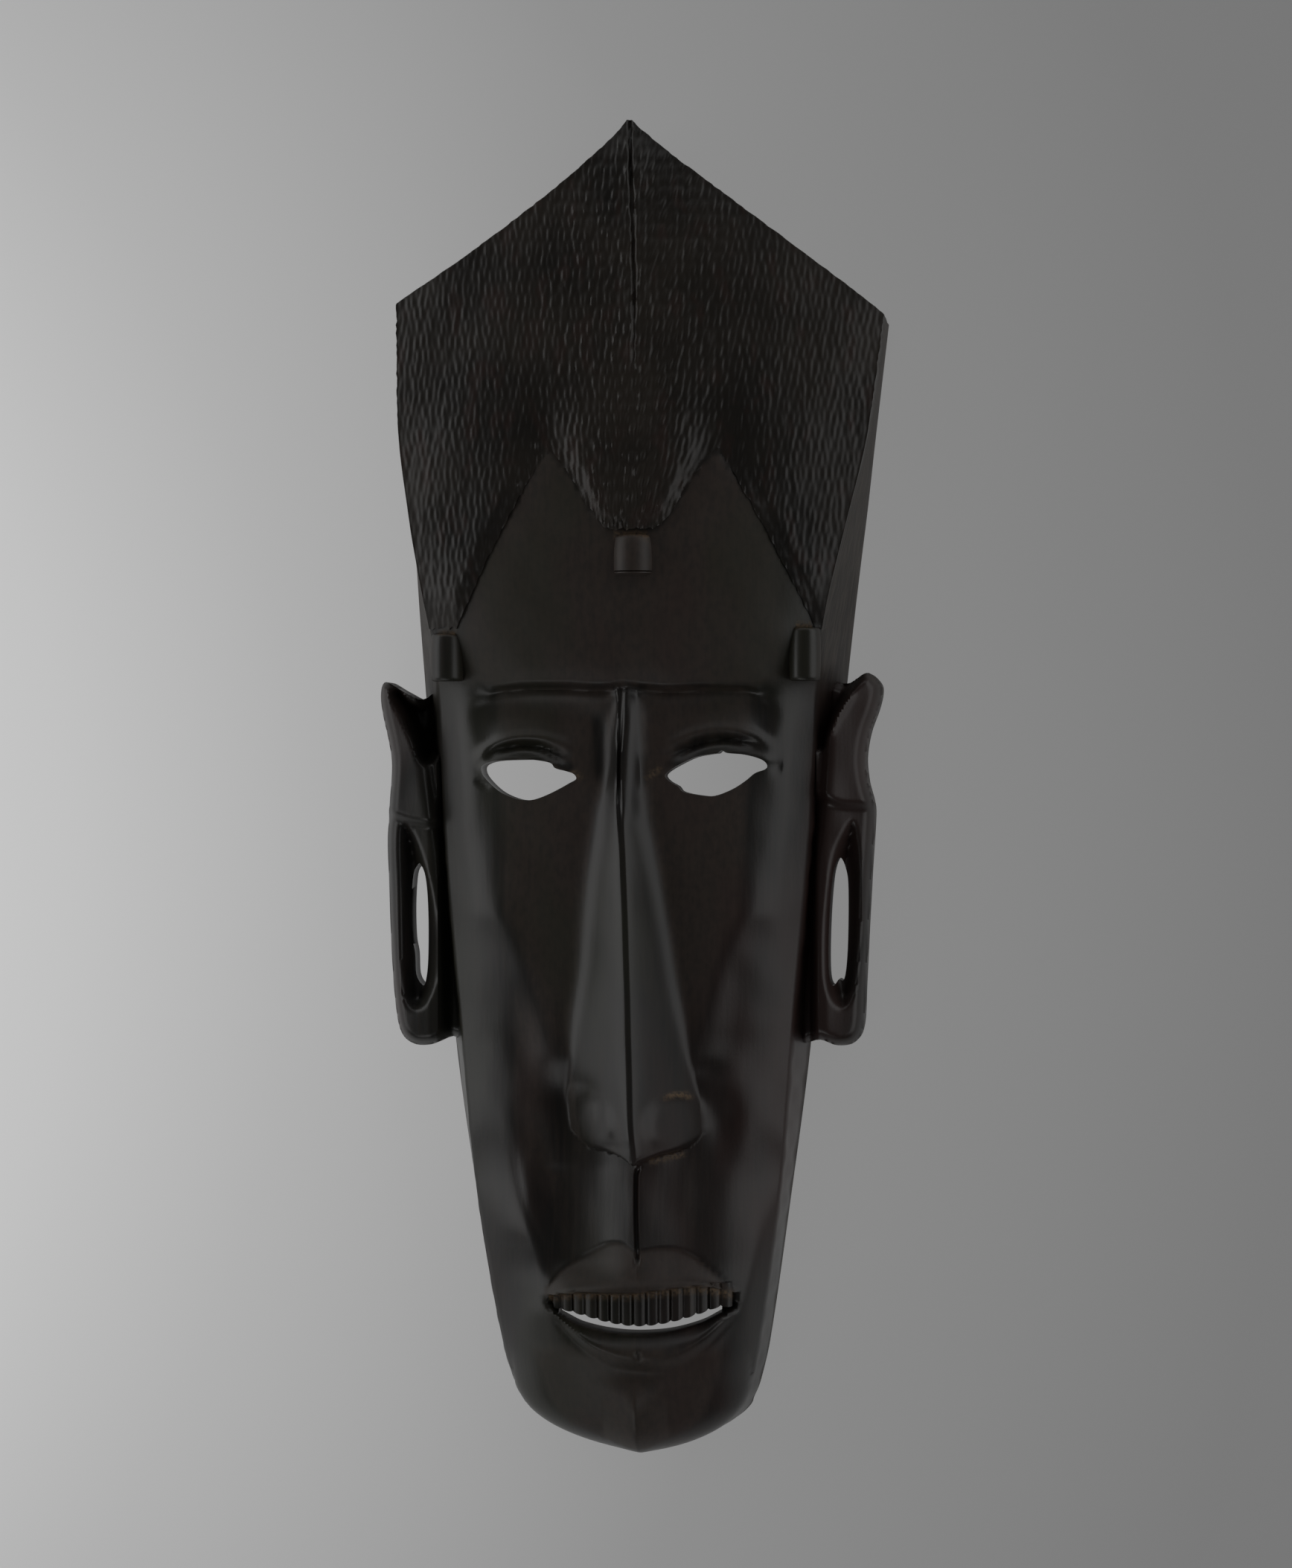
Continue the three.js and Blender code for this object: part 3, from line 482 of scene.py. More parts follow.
def side_band(x, y):
    """The polished band, which falls and bows to the outer edge of the front."""
    side = np.sign(x - spine(y))
    half = front_half(y)
    band = band_within(y, side)
    panel = panel_within(y)
    top = plane_height(y) - plane_curve(y) * panel * panel - middle_slope(y) * np.maximum(band - panel, 0)
    share = (half - np.abs(x - spine(y))) / (half - band)
    within = np.minimum(share, 1)
    bowed = within * (1 + BAND_BOW - BAND_BOW * within) + (share - within) * (1 - BAND_BOW)
    return edge_height(y) + (top - edge_height(y)) * bowed


def wing(x, y, middle, half):
    """A nostril's wing, fullest in its middle."""
    reach = ((x - middle[0]) / half[0]) ** 2 + ((y - middle[1]) / half[1]) ** 2
    return WING.height * (1 - blend(*WING.span, reach))


def nose(x, y):
    """Two planes meet in a narrow flat ridge, and a wing stands out at each side of the tip."""
    aside = x - ridge_line(y)
    width = np.where(aside < 0, nose_left(y), nose_right(y))
    base = plane_height(y) - NOSE_SINK
    away = np.maximum(np.abs(aside) - NOSE_FACET.half, 0) / (width - NOSE_FACET.half)
    fall = np.where(away < 1, away ** NOSE_ROUNDING, 1 + NOSE_ROUNDING * (away - 1))
    whole = nose_height(y) - (nose_height(y) - base) * fall
    whole = whole + wing(x, y, *WINGS[0]) + wing(x, y, *WINGS[1])
    whole = whole - strokes(x, y, WING_CREASES) - mounds(x, y, WING_HOLLOWS)
    under = blend(*NOSE_UNDER.span, y - nose_foot(x)) ** NOSE_UNDER.power
    low = plane_height(y) - NOSE_UNDER.drop
    return np.minimum(whole, low + (whole - low) * under)


def eyelids(x, y):
    cuts = [(LEFT_EYE_CORNER, 0.8, 0.8, 0.3)]
    for fold, crease, lid in EYES:
        above = [(px, py + ABOVE_FOLD) for px, py in fold[1:-1]]
        edge = [(px, py - BELOW_LID) for px, py in lid]
        cuts += [(fold, *FOLD_CUT), (above, *ABOVE_CUT), (crease, *CREASE_CUT), (edge, *LID_CUT)]
    return -strokes(x, y, cuts) - mounds(x, y, [RIGHT_EYE_CORNER])


def glabella(x, y):
    """One deep line runs up between the eyes from the ridge of the nose, with a frown beside it."""
    deep = NOSE_FACET.groove * blend(*NOSE_FACET.rise, y) * (1 - blend(*NOSE_FACET.fade, y))
    width = 0.9 + 0.5 * blend(6, 34, y) - 0.35 * swell(y, 8, 9)
    height = -deep * swell(x, ridge_line(y), width, 3) - strokes(x, y, EYE_PITS)
    for k in range(FROWN.count):
        start = FROWN.x + k
        mark = [(start, FROWN.top), (start + 0.6, FROWN.top - 4), (start + 0.4, FROWN.top - 7 - k)]
        height = height - stroke(x, y, mark, FROWN.width, FROWN.depth)
    return height


def muzzle(x, y):
    beside = x - ridge_line(y)
    fall = np.where(beside < 0, MUZZLE.left * beside, -MUZZLE.right * beside + MUZZLE.bow * beside ** 2)
    within = 1 - blend(*MUZZLE.span, np.abs(beside))
    along = blend(*MUZZLE.foot, y) * (1 - blend(*MUZZLE.top, y))
    line = PHILTRUM.depth * swell(beside, 0, PHILTRUM.half, 3)
    line = line * blend(*PHILTRUM.top, y) * blend(*PHILTRUM.foot, y)
    return fall * within * along - strokes(x, y, MUZZLE_CUTS) - mounds(x, y, CHEEK_HOLLOWS) - line


def lips(x, y):
    across = np.abs(x - MOUTH_MIDDLE) / LIP_HALF
    top = lip_top(x)
    foot = lip_foot(x)
    share = np.clip((top - y) / np.maximum(top - foot, 1), 0, 1)
    lobes = UPPER_LIP.edge + UPPER_LIP.fullness * share ** UPPER_LIP.power
    lobes = lobes + UPPER_LIP.lobe * swell(share, UPPER_LIP.lobe_at, UPPER_LIP.lobe_half)
    upper = blend(-0.6, 1.4, top - y) * blend(-0.5, 0.5, y - foot) * lobes
    floor_y = mouth_floor(x)
    low = lower_lip_foot(x)
    roll = np.clip((y - low) / np.maximum(floor_y - low, 1), 0, 1)
    turn = np.maximum((roll - LOWER_LIP.turn) / (1 - LOWER_LIP.turn), 0)
    crest = blend(-2.2, 4.6, y - low) * (1 - turn ** LOWER_LIP.power)
    lower = (LOWER_LIP.fullness * crest - LOWER_LIP.tilt * roll) * (y < floor_y + 3)
    gums = GUMS * blend(-0.5, 1.5, y - floor_y) * (1 - blend(-0.6, 0.4, y - foot))
    return (1 - blend(0.9, 1.03, across)) * (upper + lower - gums) - strokes(x, y, LIP_CUTS)


def chin(x, y):
    aside = x - CHIN_KEEL.x
    tent = np.maximum(1 - np.where(aside < 0, -aside / CHIN_KEEL.left, aside / CHIN_KEEL.right), 0)
    return CHIN_KEEL.height * tent * (1 - blend(*CHIN_KEEL.span, y)) + mounds(x, y, CHIN_FORM)


def round_chin(x, y, planes):
    """The planes of the face give way to one rounded form that falls to the chin's outline."""
    start = JAW_CORNER + CHIN_TURN.above
    fall = np.clip((start - y) / (start - CHIN_TIP), 0, 1)
    aside = np.abs(x - spine(y)) / JAW_CORNER_HALF
    inward = np.clip(1 - fall ** CHIN_TURN.power - aside ** (1 / CHIN_ACROSS), 0, 1)
    low = edge_height(CHIN_TIP)
    rounded = low + (plane_height(JAW_CORNER) - low) * inward ** CHIN_FULLNESS
    share = blend(*CHIN_TURN.span, y)
    return planes * (1 - share) + rounded * share


def face(x, y):
    front = cheek_plane(x, y) + mounds(x, y, SOCKETS) + eyelids(x, y) + muzzle(x, y) + lips(x, y)
    band_softness = 2 + 9 * blend(-192, -218, y)
    surface = round_chin(x, y, smooth_min(front, side_band(x, y), band_softness))
    near_tip = blend(-0.5, 9, rim_half(y) - np.abs(x - spine(y)))
    nose_softness = 2 + 4 * blend(-110, -80, y)
    return smooth_max(surface + chin(x, y) * near_tip, nose(x, y), nose_softness) + glabella(x, y)


SKIN_WAVES = Sizes(height=0.12, size=17)
BELOW_HAIR = 1.2


def front_surface(x, y):
    aside = np.abs(x - spine(y))
    outward = blend(*BROW_END, aside)
    away = y - brow_line(x)
    reach = BROW_REACH.middle + BROW_REACH.end * outward
    above = blend(-reach, reach, away)
    skin = np.where(above > 0, dome(x, np.maximum(y, BROW - 12)), 0) * above
    skin = skin + np.where(above < 1, face(x, y), 0) * (1 - above)
    groove = swell(away, 0, np.where(away > 0, BROW_GROOVE.above, BROW_GROOVE.below))
    crest = swell(away, -BROW_CREST.below, BROW_CREST.half)
    skin = skin + (1 - outward) * (BROW_CREST.height * crest - BROW_GROOVE.depth * groove)
    in_hair = blend(1, 2.5, y - hairline(x)) * blend(HAIR_FOOT, HAIR_FOOT + 2, y)
    skin = skin + in_hair * (hair_raise(x, y) - BELOW_HAIR)
    return skin + SKIN_WAVES.height * waves(x, y, SKIN_WAVES.size, 3)


# Meshes
def mesh_object(name, vertices, faces):
    mesh = bpy.data.meshes.new(name)
    placed = np.array(vertices, float)
    placed[:, :2] -= ORIGIN
    mesh.from_pydata((placed * MM).tolist(), [], faces)
    mesh.update()
    return place_object(name, mesh)


def place_object(name, data):
    made = bpy.data.objects.new(name, data)
    bpy.context.scene.collection.objects.link(made)
    return made


def quads_of(index):
    """Faces between the rows and columns of a table of points."""
    corners = [index[:-1, :-1], index[:-1, 1:], index[1:, 1:], index[1:, :-1]]
    return np.stack(corners, -1).reshape(-1, 4).tolist()


def grid_solid(name, grid):
    """A closed solid over rows of points whose first and last points lie on the ground plane."""
    rows, wide, _ = grid.shape
    index = np.arange(rows * wide).reshape(rows, wide)
    quads = quads_of(np.column_stack([index, index[:, 0]]))
    quads.append(index[0][::-1].tolist())
    quads.append(index[-1].tolist())
    return mesh_object(name, grid.reshape(-1, 3), quads)


def slab(name, xs, ys, height, foot):
    """A rectangular block with a carved top."""
    x, y = np.meshgrid(xs, ys)
    top = np.stack([x, y, height(x, y)], axis=-1).reshape(-1, 3)
    index = np.arange(len(top)).reshape(x.shape)
    quads = quads_of(index)
    ring = np.concatenate([index[0, :], index[1:, -1], index[-1, -2::-1], index[-2:0:-1, 0]])
    base = top[ring].copy()
    base[:, 2] = foot
    low = np.arange(len(ring)) + len(top)
    quads += np.stack([np.roll(ring, -1), ring, low, np.roll(low, -1)], axis=-1).tolist()
    quads.append(low[::-1].tolist())
    return mesh_object(name, np.vstack([top, base]), quads)


def prism(name, outline, low, high):
    """A straight cut along the height, over an outline that runs anticlockwise."""
    outline = np.array(outline, float)
    after = np.roll(outline, -1, axis=0)
    if np.sum(outline[:, 0] * after[:, 1] - outline[:, 1] * after[:, 0]) < 0:
        outline = outline[::-1]
    count = len(outline)
    ends = [np.column_stack([outline, np.full(count, z)]) for z in (low, high)]
    faces = [[k, (k + 1) % count, (k + 1) % count + count, k + count] for k in range(count)]
    faces.append(list(range(count - 1, -1, -1)))
    faces.append(list(range(count, 2 * count)))
    return mesh_object(name, np.vstack(ends), faces)


def lathe_bead(name, middle, profile, sides=40):
    """A bead turned about an axis along the mask; the profile is pairs of radius and place."""
    angle = np.arange(sides) * math.tau / sides
    rings = [np.column_stack([middle[0] + radius * np.cos(angle), np.full(sides, middle[1] + place),
                              middle[2] + radius * np.sin(angle)]) for radius, place in profile]
    index = np.arange(len(rings) * sides).reshape(-1, sides)
    after = np.roll(index, -1, axis=1)
    faces = np.stack([index[:-1], index[1:], after[1:], after[:-1]], -1).reshape(-1, 4).tolist()
    faces += [index[0].tolist(), index[-1][::-1].tolist()]
    return mesh_object(name, np.vstack(rings), faces)


def carve(target, *steps):
    """Joins other solids to one, or cuts them from it, in the order given, and removes them."""
    for operation, tool in steps:
        modifier = target.modifiers.new(operation, "BOOLEAN")
        modifier.operation = operation
        modifier.solver = "MANIFOLD"
        modifier.object = tool
    graph = bpy.context.evaluated_depsgraph_get()
    made = bpy.data.meshes.new_from_object(target.evaluated_get(graph))
    target.modifiers.clear()
    old = target.data
    target.data = made
    bpy.data.meshes.remove(old)
    for _, tool in steps:
        mesh = tool.data
        bpy.data.objects.remove(tool)
        bpy.data.meshes.remove(mesh)
    return target


# Rows of the block: where each band starts and ends, and how many rows it takes
ROW_BANDS = [
    (CHIN_TIP, CHIN_TIP + 1.5, 4), (CHIN_TIP + 1.5, JAW_CORNER, 16), (JAW_CORNER, -220, 14),
    (-220, -168, 62), (-168, -144, 20), (-144, -110, 36), (-110, -20, 46), (-20, 4, 24), (4, 24, 27),
    (24, 32, 8), (32, 40, 13), (40, 48, 6), (48, 126, 30), (126, CROWN_CORNER, 10),
    (CROWN_CORNER, CROWN_TIP, 16)]
COLUMNS = {"nose": 12, "panel": 19, "middle": 8, "band": 12}
FACET_COLUMNS = [0.45, 0.9, 1.35, 2]
SKIRT = Sizes(columns=5, rough=0.3, size=9)


def block():
    rows = np.concatenate([np.linspace(a, b, n, endpoint=False) for a, b, n in ROW_BANDS] + [[CROWN_TIP]])
    line = rows[:, None]
    half = front_half(line)
    middle = spine(line)
    ridge = np.clip(ridge_line(line), middle - half / 4, middle + half / 4)
    sides = []
    for side, nose_side in ((-1, nose_left), (1, nose_right)):
        foot = ridge + side * np.minimum(nose_side(line), half / 3)
        panel = middle + side * panel_within(line)
        band = middle + side * np.maximum(band_within(line, side), panel_within(line) + half * 0.02)
        wide = np.abs(foot - ridge)
        facet = [side * np.minimum(place, wide * 0.2 * (k + 1)) for k, place in enumerate(FACET_COLUMNS)]
        parts = [ridge + step for step in facet]
        knots = [parts[-1], foot, panel, band, middle + side * half]
        for start, end, count in zip(knots, knots[1:], COLUMNS.values()):
            parts.append(start + (end - start) * ((np.arange(count) + 1) / count))
        sides.append(np.concatenate(parts, axis=1))
    x = np.concatenate([sides[0][:, ::-1], ridge, sides[1]], axis=1)
    y = np.broadcast_to(line, x.shape)
    share = (x - spine(y)) / front_half(y)
    front = np.stack([x, y - corner_drop(y) * share, front_surface(x, y)], axis=-1)
    skirts = []
    for side, edge in ((-1, front[:, :1]), (1, front[:, -1:])):
        t = (np.arange(SKIRT.columns) / SKIRT.columns)[None, :]
        outer = middle + side * rim_half(line)
        inner = middle + side * half
        sx = outer + (inner - outer) * t
        sz = edge[..., 2] * t
        rough = SKIRT.rough * waves(np.broadcast_to(line, sx.shape), sz + side * 50, SKIRT.size, 8)
        sy = np.broadcast_to(line - corner_drop(line) * side, sx.shape)
        skirts.append(np.stack([sx + side * rough * (t > 0), sy, sz], axis=-1))
    return grid_solid("mask_carved", np.concatenate([skirts[0], front, skirts[1][:, ::-1]], axis=1))


HAIR_GRID = Sizes(across=0.5, along=1.15, foot=30)


def hair_outline():
    """The crown's outline with a slightly serrated edge, closed along the hairline."""
    random = np.random.RandomState(4)
    ys = np.concatenate([np.arange(HAIR_FOOT, CROWN_CORNER, 1.5), np.linspace(CROWN_CORNER, CROWN_TIP, 60)])
    edge = []
    for side in (1, -1):
        bite = random.uniform(-0.3, 0.25, len(ys))
        half = front_half(ys) + 0.3 + bite * blend(120, 160, ys)
        edge.append(np.column_stack([spine(ys) + side * half, ys - corner_drop(ys) * side]))
    line_x = np.linspace(edge[1][0][0] + 0.2, edge[0][0][0] - 0.2, 150)
    line_y = hairline(line_x) + random.uniform(-0.7, 0.7, len(line_x))
    return np.vstack([np.column_stack([line_x, line_y]), edge[0], edge[1][::-1]])


def hair():
    xs = np.arange(-93, 96.2, HAIR_GRID.across)
    ys = np.arange(52, 249, HAIR_GRID.along)
    made = slab("hair", xs, ys, hair_surface, HAIR_GRID.foot)
    return carve(made, ("INTERSECT", prism("hair_edge", hair_outline(), 20, 100)))


# Ears, each by its own outline, its recess, the loop's hole, the hollow between leaf and head, the
# shelf between lobe and leaf, the leaf's rim and the groove that parts it from the head
LEFT_EAR = Sizes(
    outline=[
        (-95, 38.6), (-97, 34.5), (-96.4, 27), (-94, 16), (-92.8, 7), (-93.8, -6), (-95.2, -20),
        (-94.6, -41), (-93.8, -63), (-92.3, -83), (-90, -94), (-85, -98.4), (-78, -98.6), (-71, -96),
        (-63, -97), (-60, -60), (-60, 0), (-64, 30), (-74, 37), (-80.8, 32), (-88, 34.9)],
    recess=[
        (-88.6, -15.5), (-84.5, -19), (-80.5, -29), (-77.4, -40), (-75.6, -55), (-75.8, -72), (-78.5, -81),
        (-82.5, -85), (-86.8, -83), (-88.4, -74), (-88.8, -45), (-89.4, -25)],
    hole=[
        (-82.1, -30.3), (-79.9, -35), (-79.2, -48), (-79.4, -66), (-80.6, -75.3), (-82.2, -75.8),
        (-84.2, -72), (-84.6, -64), (-85.6, -58), (-85.9, -46), (-85.2, -34.5), (-83.6, -31)],
    hollow=[
        (-91, 34.5), (-82.5, 30), (-72, 42), (-66, 32), (-70, 18), (-78.8, 8.5), (-83, 17), (-87.2, 25.8)],
    shelf=[(-93, -11.5), (-86, -14), (-80, -15.2)],
    rim=[(-89.5, 31), (-85.8, 24.6), (-81, 16.5), (-77.5, 8.5)],
    groove=[
        (-76, 36), (-77, 20), (-76.5, 4), (-74, -12), (-71.5, -30), (-69, -48), (-66.5, -66), (-64, -92)],
    hinge=80,
)
RIGHT_EAR = Sizes(
    outline=[
        (87.8, 41.7), (92, 38), (92.6, 34), (91.2, 28), (88.2, 19.5), (86.7, 10), (87.5, 1), (89.3, -6),
        (89.9, -12), (88.8, -30), (87.6, -52), (86.5, -74.5), (85.6, -91), (82.4, -97.2), (76, -98.4),
        (69.5, -96.2), (60, -95.4), (57, -60), (57, 0), (60, 30), (70, 38), (79.2, 38), (83.4, 39.9)],
    recess=[
        (81.4, -14.5), (77.8, -20), (75.3, -26), (73.4, -36), (71.8, -50), (71.4, -66), (72.2, -76),
        (75.4, -82.6), (79, -83.4), (82, -78), (83.6, -66), (84.4, -49), (84.2, -32), (83, -20)],
    hole=[
        (76.8, -27.6), (79, -32), (79.9, -40), (79.6, -62), (78.4, -73.2), (76.3, -73.6), (74.4, -75.9),
        (72.9, -72.5), (72.6, -62), (73.2, -46), (74.5, -33)],
    hollow=[
        (60, 34), (66, 41), (79.2, 40), (83.6, 40.2), (80, 34), (75.6, 26.8), (72, 19), (69.4, 14),
        (66, 22), (62, 28)],
    shelf=[(70, -4.4), (77, -7.8), (89, -8.6)],
    rim=[(82.4, 36.5), (78.6, 30.5), (74.6, 23.5), (71, 15.5)],
    groove=[(70, 38), (70.5, 20), (69.5, 2), (68, -13), (65.8, -28), (63.2, -46), (60.6, -66), (58.5, -92)],
    hinge=74,
)
EAR_BACK = 5
LOBE = Sizes(z=27.5, tilt=0.32, along=0.02, middle=-50)
LEAF = Sizes(z=33.5, tilt=0.36, along=0.06, middle=10)
LEAF_RIM = (1.7, 1.8, 0.2)
EAR_RECESS = Sizes(depth=7.5, span=(-1.2, 4.5), power=0.9)
EAR_HOLLOW = Sizes(depth=17, span=(-2.2, 3))
EAR_GROOVE = (2.6, 4, 0)
EAR_ROOT = Sizes(depth=12, span=(-5, -9))
EAR_EDGE = Sizes(drop=6, reach=4.2, power=2.2)
EAR_GRID = Sizes(across=0.8, along=0.95)


def ear_surface(spec, outline):
    recess = smooth_path(spec.recess, 5, True)
    hollow = smooth_path(spec.hollow, 5, True)
    shelf = smooth_path(spec.shelf, 5)
    shelf = shelf[np.argsort(shelf[:, 0])]
    side = np.sign(spec.outline[0][0])

    def height(x, y):
        past_hinge = side * x - spec.hinge
        outward = np.maximum(past_hinge, -2)
        lobe, leaf = (part.z + part.along * (y - part.middle) - part.tilt * outward
                      for part in (LOBE, LEAF))
        above = blend(-2.2, 2.4, y - np.interp(x, shelf[:, 0], shelf[:, 1]))
        z = lobe + (leaf - lobe) * above + stroke(x, y, spec.rim, *LEAF_RIM)
        inside = blend(*EAR_RECESS.span, inside_outline(x, y, recess))
        z = z - EAR_RECESS.depth * inside ** EAR_RECESS.power
        inside = blend(*EAR_HOLLOW.span, inside_outline(x, y, hollow))
        z = z - EAR_HOLLOW.depth * inside - stroke(x, y, spec.groove, *EAR_GROOVE)
        z = z - EAR_ROOT.depth * blend(*EAR_ROOT.span, past_hinge)
        near_edge = np.clip(1 - inside_outline(x, y, outline) / EAR_EDGE.reach, 0, 1)
        return z - EAR_EDGE.drop * near_edge ** EAR_EDGE.power + 0.2 * waves(x, y, 13, 6)

    return height


def ear(name, spec):
    outline = smooth_path(spec.outline, 5, True)
    low = outline.min(axis=0) - 1
    high = outline.max(axis=0) + 1
    made = slab(name, np.arange(low[0], high[0], EAR_GRID.across),
                np.arange(low[1], high[1], EAR_GRID.along), ear_surface(spec, outline), EAR_BACK)
    hole = smooth_path(spec.hole, 5, True)
    return carve(made, ("INTERSECT", prism(name + "_edge", outline, -10, 80)),
                 ("DIFFERENCE", prism(name + "_hole", hole, -20, 80)))


# Beads: each profile is pairs of a share of the radius and a distance from that end
CENTRE_BEAD = Sizes(x=2.6, y=84.6, z=63.3, radius=7.7, half=7.3)
TEMPLE_BEADS = [
    Sizes(x=-68.6, y=47.2, z=48, radius=6.2, half=8.8), Sizes(x=65.2, y=48.2, z=48.5, radius=5.9, half=9.9)]
BEAD_FOOT = [(0.1, 0), (0.86, 0), (0.95, 0.5)]
BEAD_GROOVE = [(0.95, 0.9), (0.86, 1.2), (0.94, 1.6)]
BEAD_HEAD = [(0.93, 0.6), (0.84, 0), (0.1, 0)]


def bead(name, spec, groove):
    half = spec.half
    radius = spec.radius
    foot = [(radius * share, inward - half) for share, inward in BEAD_FOOT + BEAD_GROOVE * groove]
    barrel = [(radius * (1 - 0.05 * s * s), s * half) for s in np.linspace(-0.8, 0.85, 7)]
    head = [(radius * share, half - inward) for share, inward in BEAD_HEAD]
    return lathe_bead(name, (spec.x, spec.y, spec.z), foot + barrel + head)


# Teeth: a row of flutes with a scalloped foot, bent back at its ends
def flute(place):
    return np.sqrt(np.maximum(1 - (2 * (place % 1) - 1) ** 2, 0))


def tooth_place(x):
    return (x - MOUTH_MIDDLE) / TEETH.pitch + 0.5


def teeth_surface(x, y):
    across = (x - MOUTH_MIDDLE) / TEETH.half
    ribs = TEETH.bulge * flute(tooth_place(x + 0.25 * np.sin(x * 1.7)))
    return TEETH.z - TEETH.back * across ** 2 + ribs + TEETH.tilt * (y - lip_foot(x))


def teeth():
    xs = np.arange(MOUTH_MIDDLE - TEETH.half, MOUTH_MIDDLE + TEETH.half, 0.38)
    ys = np.arange(-204, -184, 1.2)
    made = slab("teeth", xs, ys, teeth_surface, 34)
    edge_x = np.linspace(xs[0] + 0.3, xs[-1] - 0.3, 150)
    scallop = TEETH.scallop * flute(tooth_place(edge_x))
    low = np.column_stack([edge_x, teeth_foot(edge_x) + 0.5 - scallop])
    high = [[edge_x[-1], -186], [edge_x[0], -186]]
    return carve(made, ("INTERSECT", prism("teeth_edge", np.vstack([low, high]), 20, 80)))


# Holes through the face
HOLE_FROM = -20
HOLE_TO = 100
LEFT_EYE_HOLE = [
    (-56, 4.2), (-55.6, 7), (-50.4, 8.6), (-40.7, 9), (-35.1, 8.9), (-29.5, 7.8), (-27.8, 5.9),
    (-23.8, 4.8), (-21, 3.8), (-20, 1.9), (-22.6, 0.3), (-26, -1.6), (-30.9, -4), (-36, -5.8), (-40.5, -6),
    (-45, -4.8), (-49.4, -2.6), (-53.6, 1)]
RIGHT_EYE_HOLE = [
    (13.2, 2.9), (14.4, 4.6), (18.5, 7.1), (24.7, 10), (31, 11.2), (32.8, 11.4), (34.4, 12.5), (36.4, 11.5),
    (42.7, 10.9), (48.5, 9.3), (50.8, 7.4), (50.4, 5.6), (46.4, 4), (43, 1.2), (38, -2), (31.6, -4.4),
    (26, -4.2), (19.9, -2.9), (18, -0.9), (14.9, 0.9)]


def eye_hole(name, points):
    return prism(name, smooth_path(points, 4, True), HOLE_FROM, HOLE_TO)


def mouth_hole():
    xs = np.linspace(-27.5, 33.4, 40)
    low = np.column_stack([xs, mouth_floor(xs)])
    high = np.column_stack([xs[::-1], lip_foot(xs[::-1]) - 0.5])
    return prism("mouth", np.vstack([low, high]), HOLE_FROM, HOLE_TO)


# The hollow behind follows the outside at the thickness of the wall, with a gouge's marks
WALL = 11
CAVITY = Sizes(top=222, bottom=-237, skirt=4, least_half=4, flare_share=0.4, arch=0.7,
          crowding=1.6, end_power=8, marks=0.5)
CAVITY_MESH = Sizes(rows=56, columns=30)
ceiling = curve([
    (CAVITY.bottom, 20), (-215, 34), (-150, 37), (-50, 36), (0, 38), (45, 45), (100, 50), (170, 44),
    (CAVITY.top, 28)])


def cavity():
    share = np.linspace(-1, 1, CAVITY_MESH.rows + 1)[:, None]
    along = np.sign(share) * (1 - (1 - np.abs(share)) ** CAVITY.crowding)
    y = CAVITY.bottom + (CAVITY.top - CAVITY.bottom) * (0.5 + 0.5 * along)
    end = np.sqrt(1 - np.abs(along) ** CAVITY.end_power)
    half = np.maximum(rim_half(y) - WALL - flare(y) * CAVITY.flare_share, CAVITY.least_half)
    angle = math.pi * (1 - np.arange(CAVITY_MESH.columns + 1) / CAVITY_MESH.columns)[None, :]
    across = np.sign(np.cos(angle)) * np.abs(np.cos(angle)) ** CAVITY.arch
    arch = np.maximum(np.sin(angle), 0) ** CAVITY.arch
    marks = CAVITY.marks * waves(y + 0 * angle, across * 60 + 0 * y, 14, 9) * arch * end
    x = spine(y) + half * across
    z = -CAVITY.skirt + (ceiling(y) + CAVITY.skirt) * arch * end + marks
    return grid_solid("hollow", np.stack([x, np.broadcast_to(y, x.shape), z], axis=-1))


def build_mask():
    mask = block()
    joined = [hair(), ear("left_ear", LEFT_EAR), ear("right_ear", RIGHT_EAR),
              bead("centre_bead", CENTRE_BEAD, True)]
    joined += [bead("temple_bead", spec, False) for spec in TEMPLE_BEADS]
    cut = [cavity(), eye_hole("left_eye", LEFT_EYE_HOLE), eye_hole("right_eye", RIGHT_EYE_HOLE), mouth_hole()]
    steps = [("UNION", solid) for solid in joined] + [("DIFFERENCE", solid) for solid in cut]
    return carve(mask, *steps, ("UNION", teeth()))


# Zones of the finish, as one number for each point of the mesh
# The eye pit and the eyelid creases lose their matt: they turn glossy, and their colour goes near black,
# which is painted shade. The lids are only polished.
PIT_SHADE_AND_GLOSS = (2.6, 1, 0.3)
CREASE_SHADE_AND_GLOSS = (3, 1, 0.2)
LID_POLISH = (2.6, 1, 0.1)
VALLEY_MATT = (5.5, 0.8, 0.25)
CHIN_MATT = 0.9
BROW_MATT = 0.95
MUZZLE_MATT = 0.35
TOOTH_RESIDUE = 0.75
RESIDUE_MARKS = [
    (RIGHT_WING_CREASE, 0.9, 1, 0.3), ([(6, -141), (14, -139.5), (21, -138)], 1, 0.7),
    ([(-5, 92.2), (2.6, 92.4), (9.5, 91.2)], 0.8, 0.8),
    ([(-72.5, 56.4), (-68, 56.6), (-64.5, 56.2)], 0.8, 0.9),
    ([(61, 58.6), (65, 58.9), (68.5, 58.4)], 0.8, 0.9), ([(-22, 4.5), (-19.5, 3.2), (-17.5, 1)], 1, 0.6),
    ([(6.5, 1.5), (9.5, 4.5), (12.5, 6)], 1.1, 0.6)]


def frontness(x, y):
    return np.where(y > BROW, dome(x, np.maximum(y, BROW)), np.minimum(cheek_plane(x, y), side_band(x, y)))


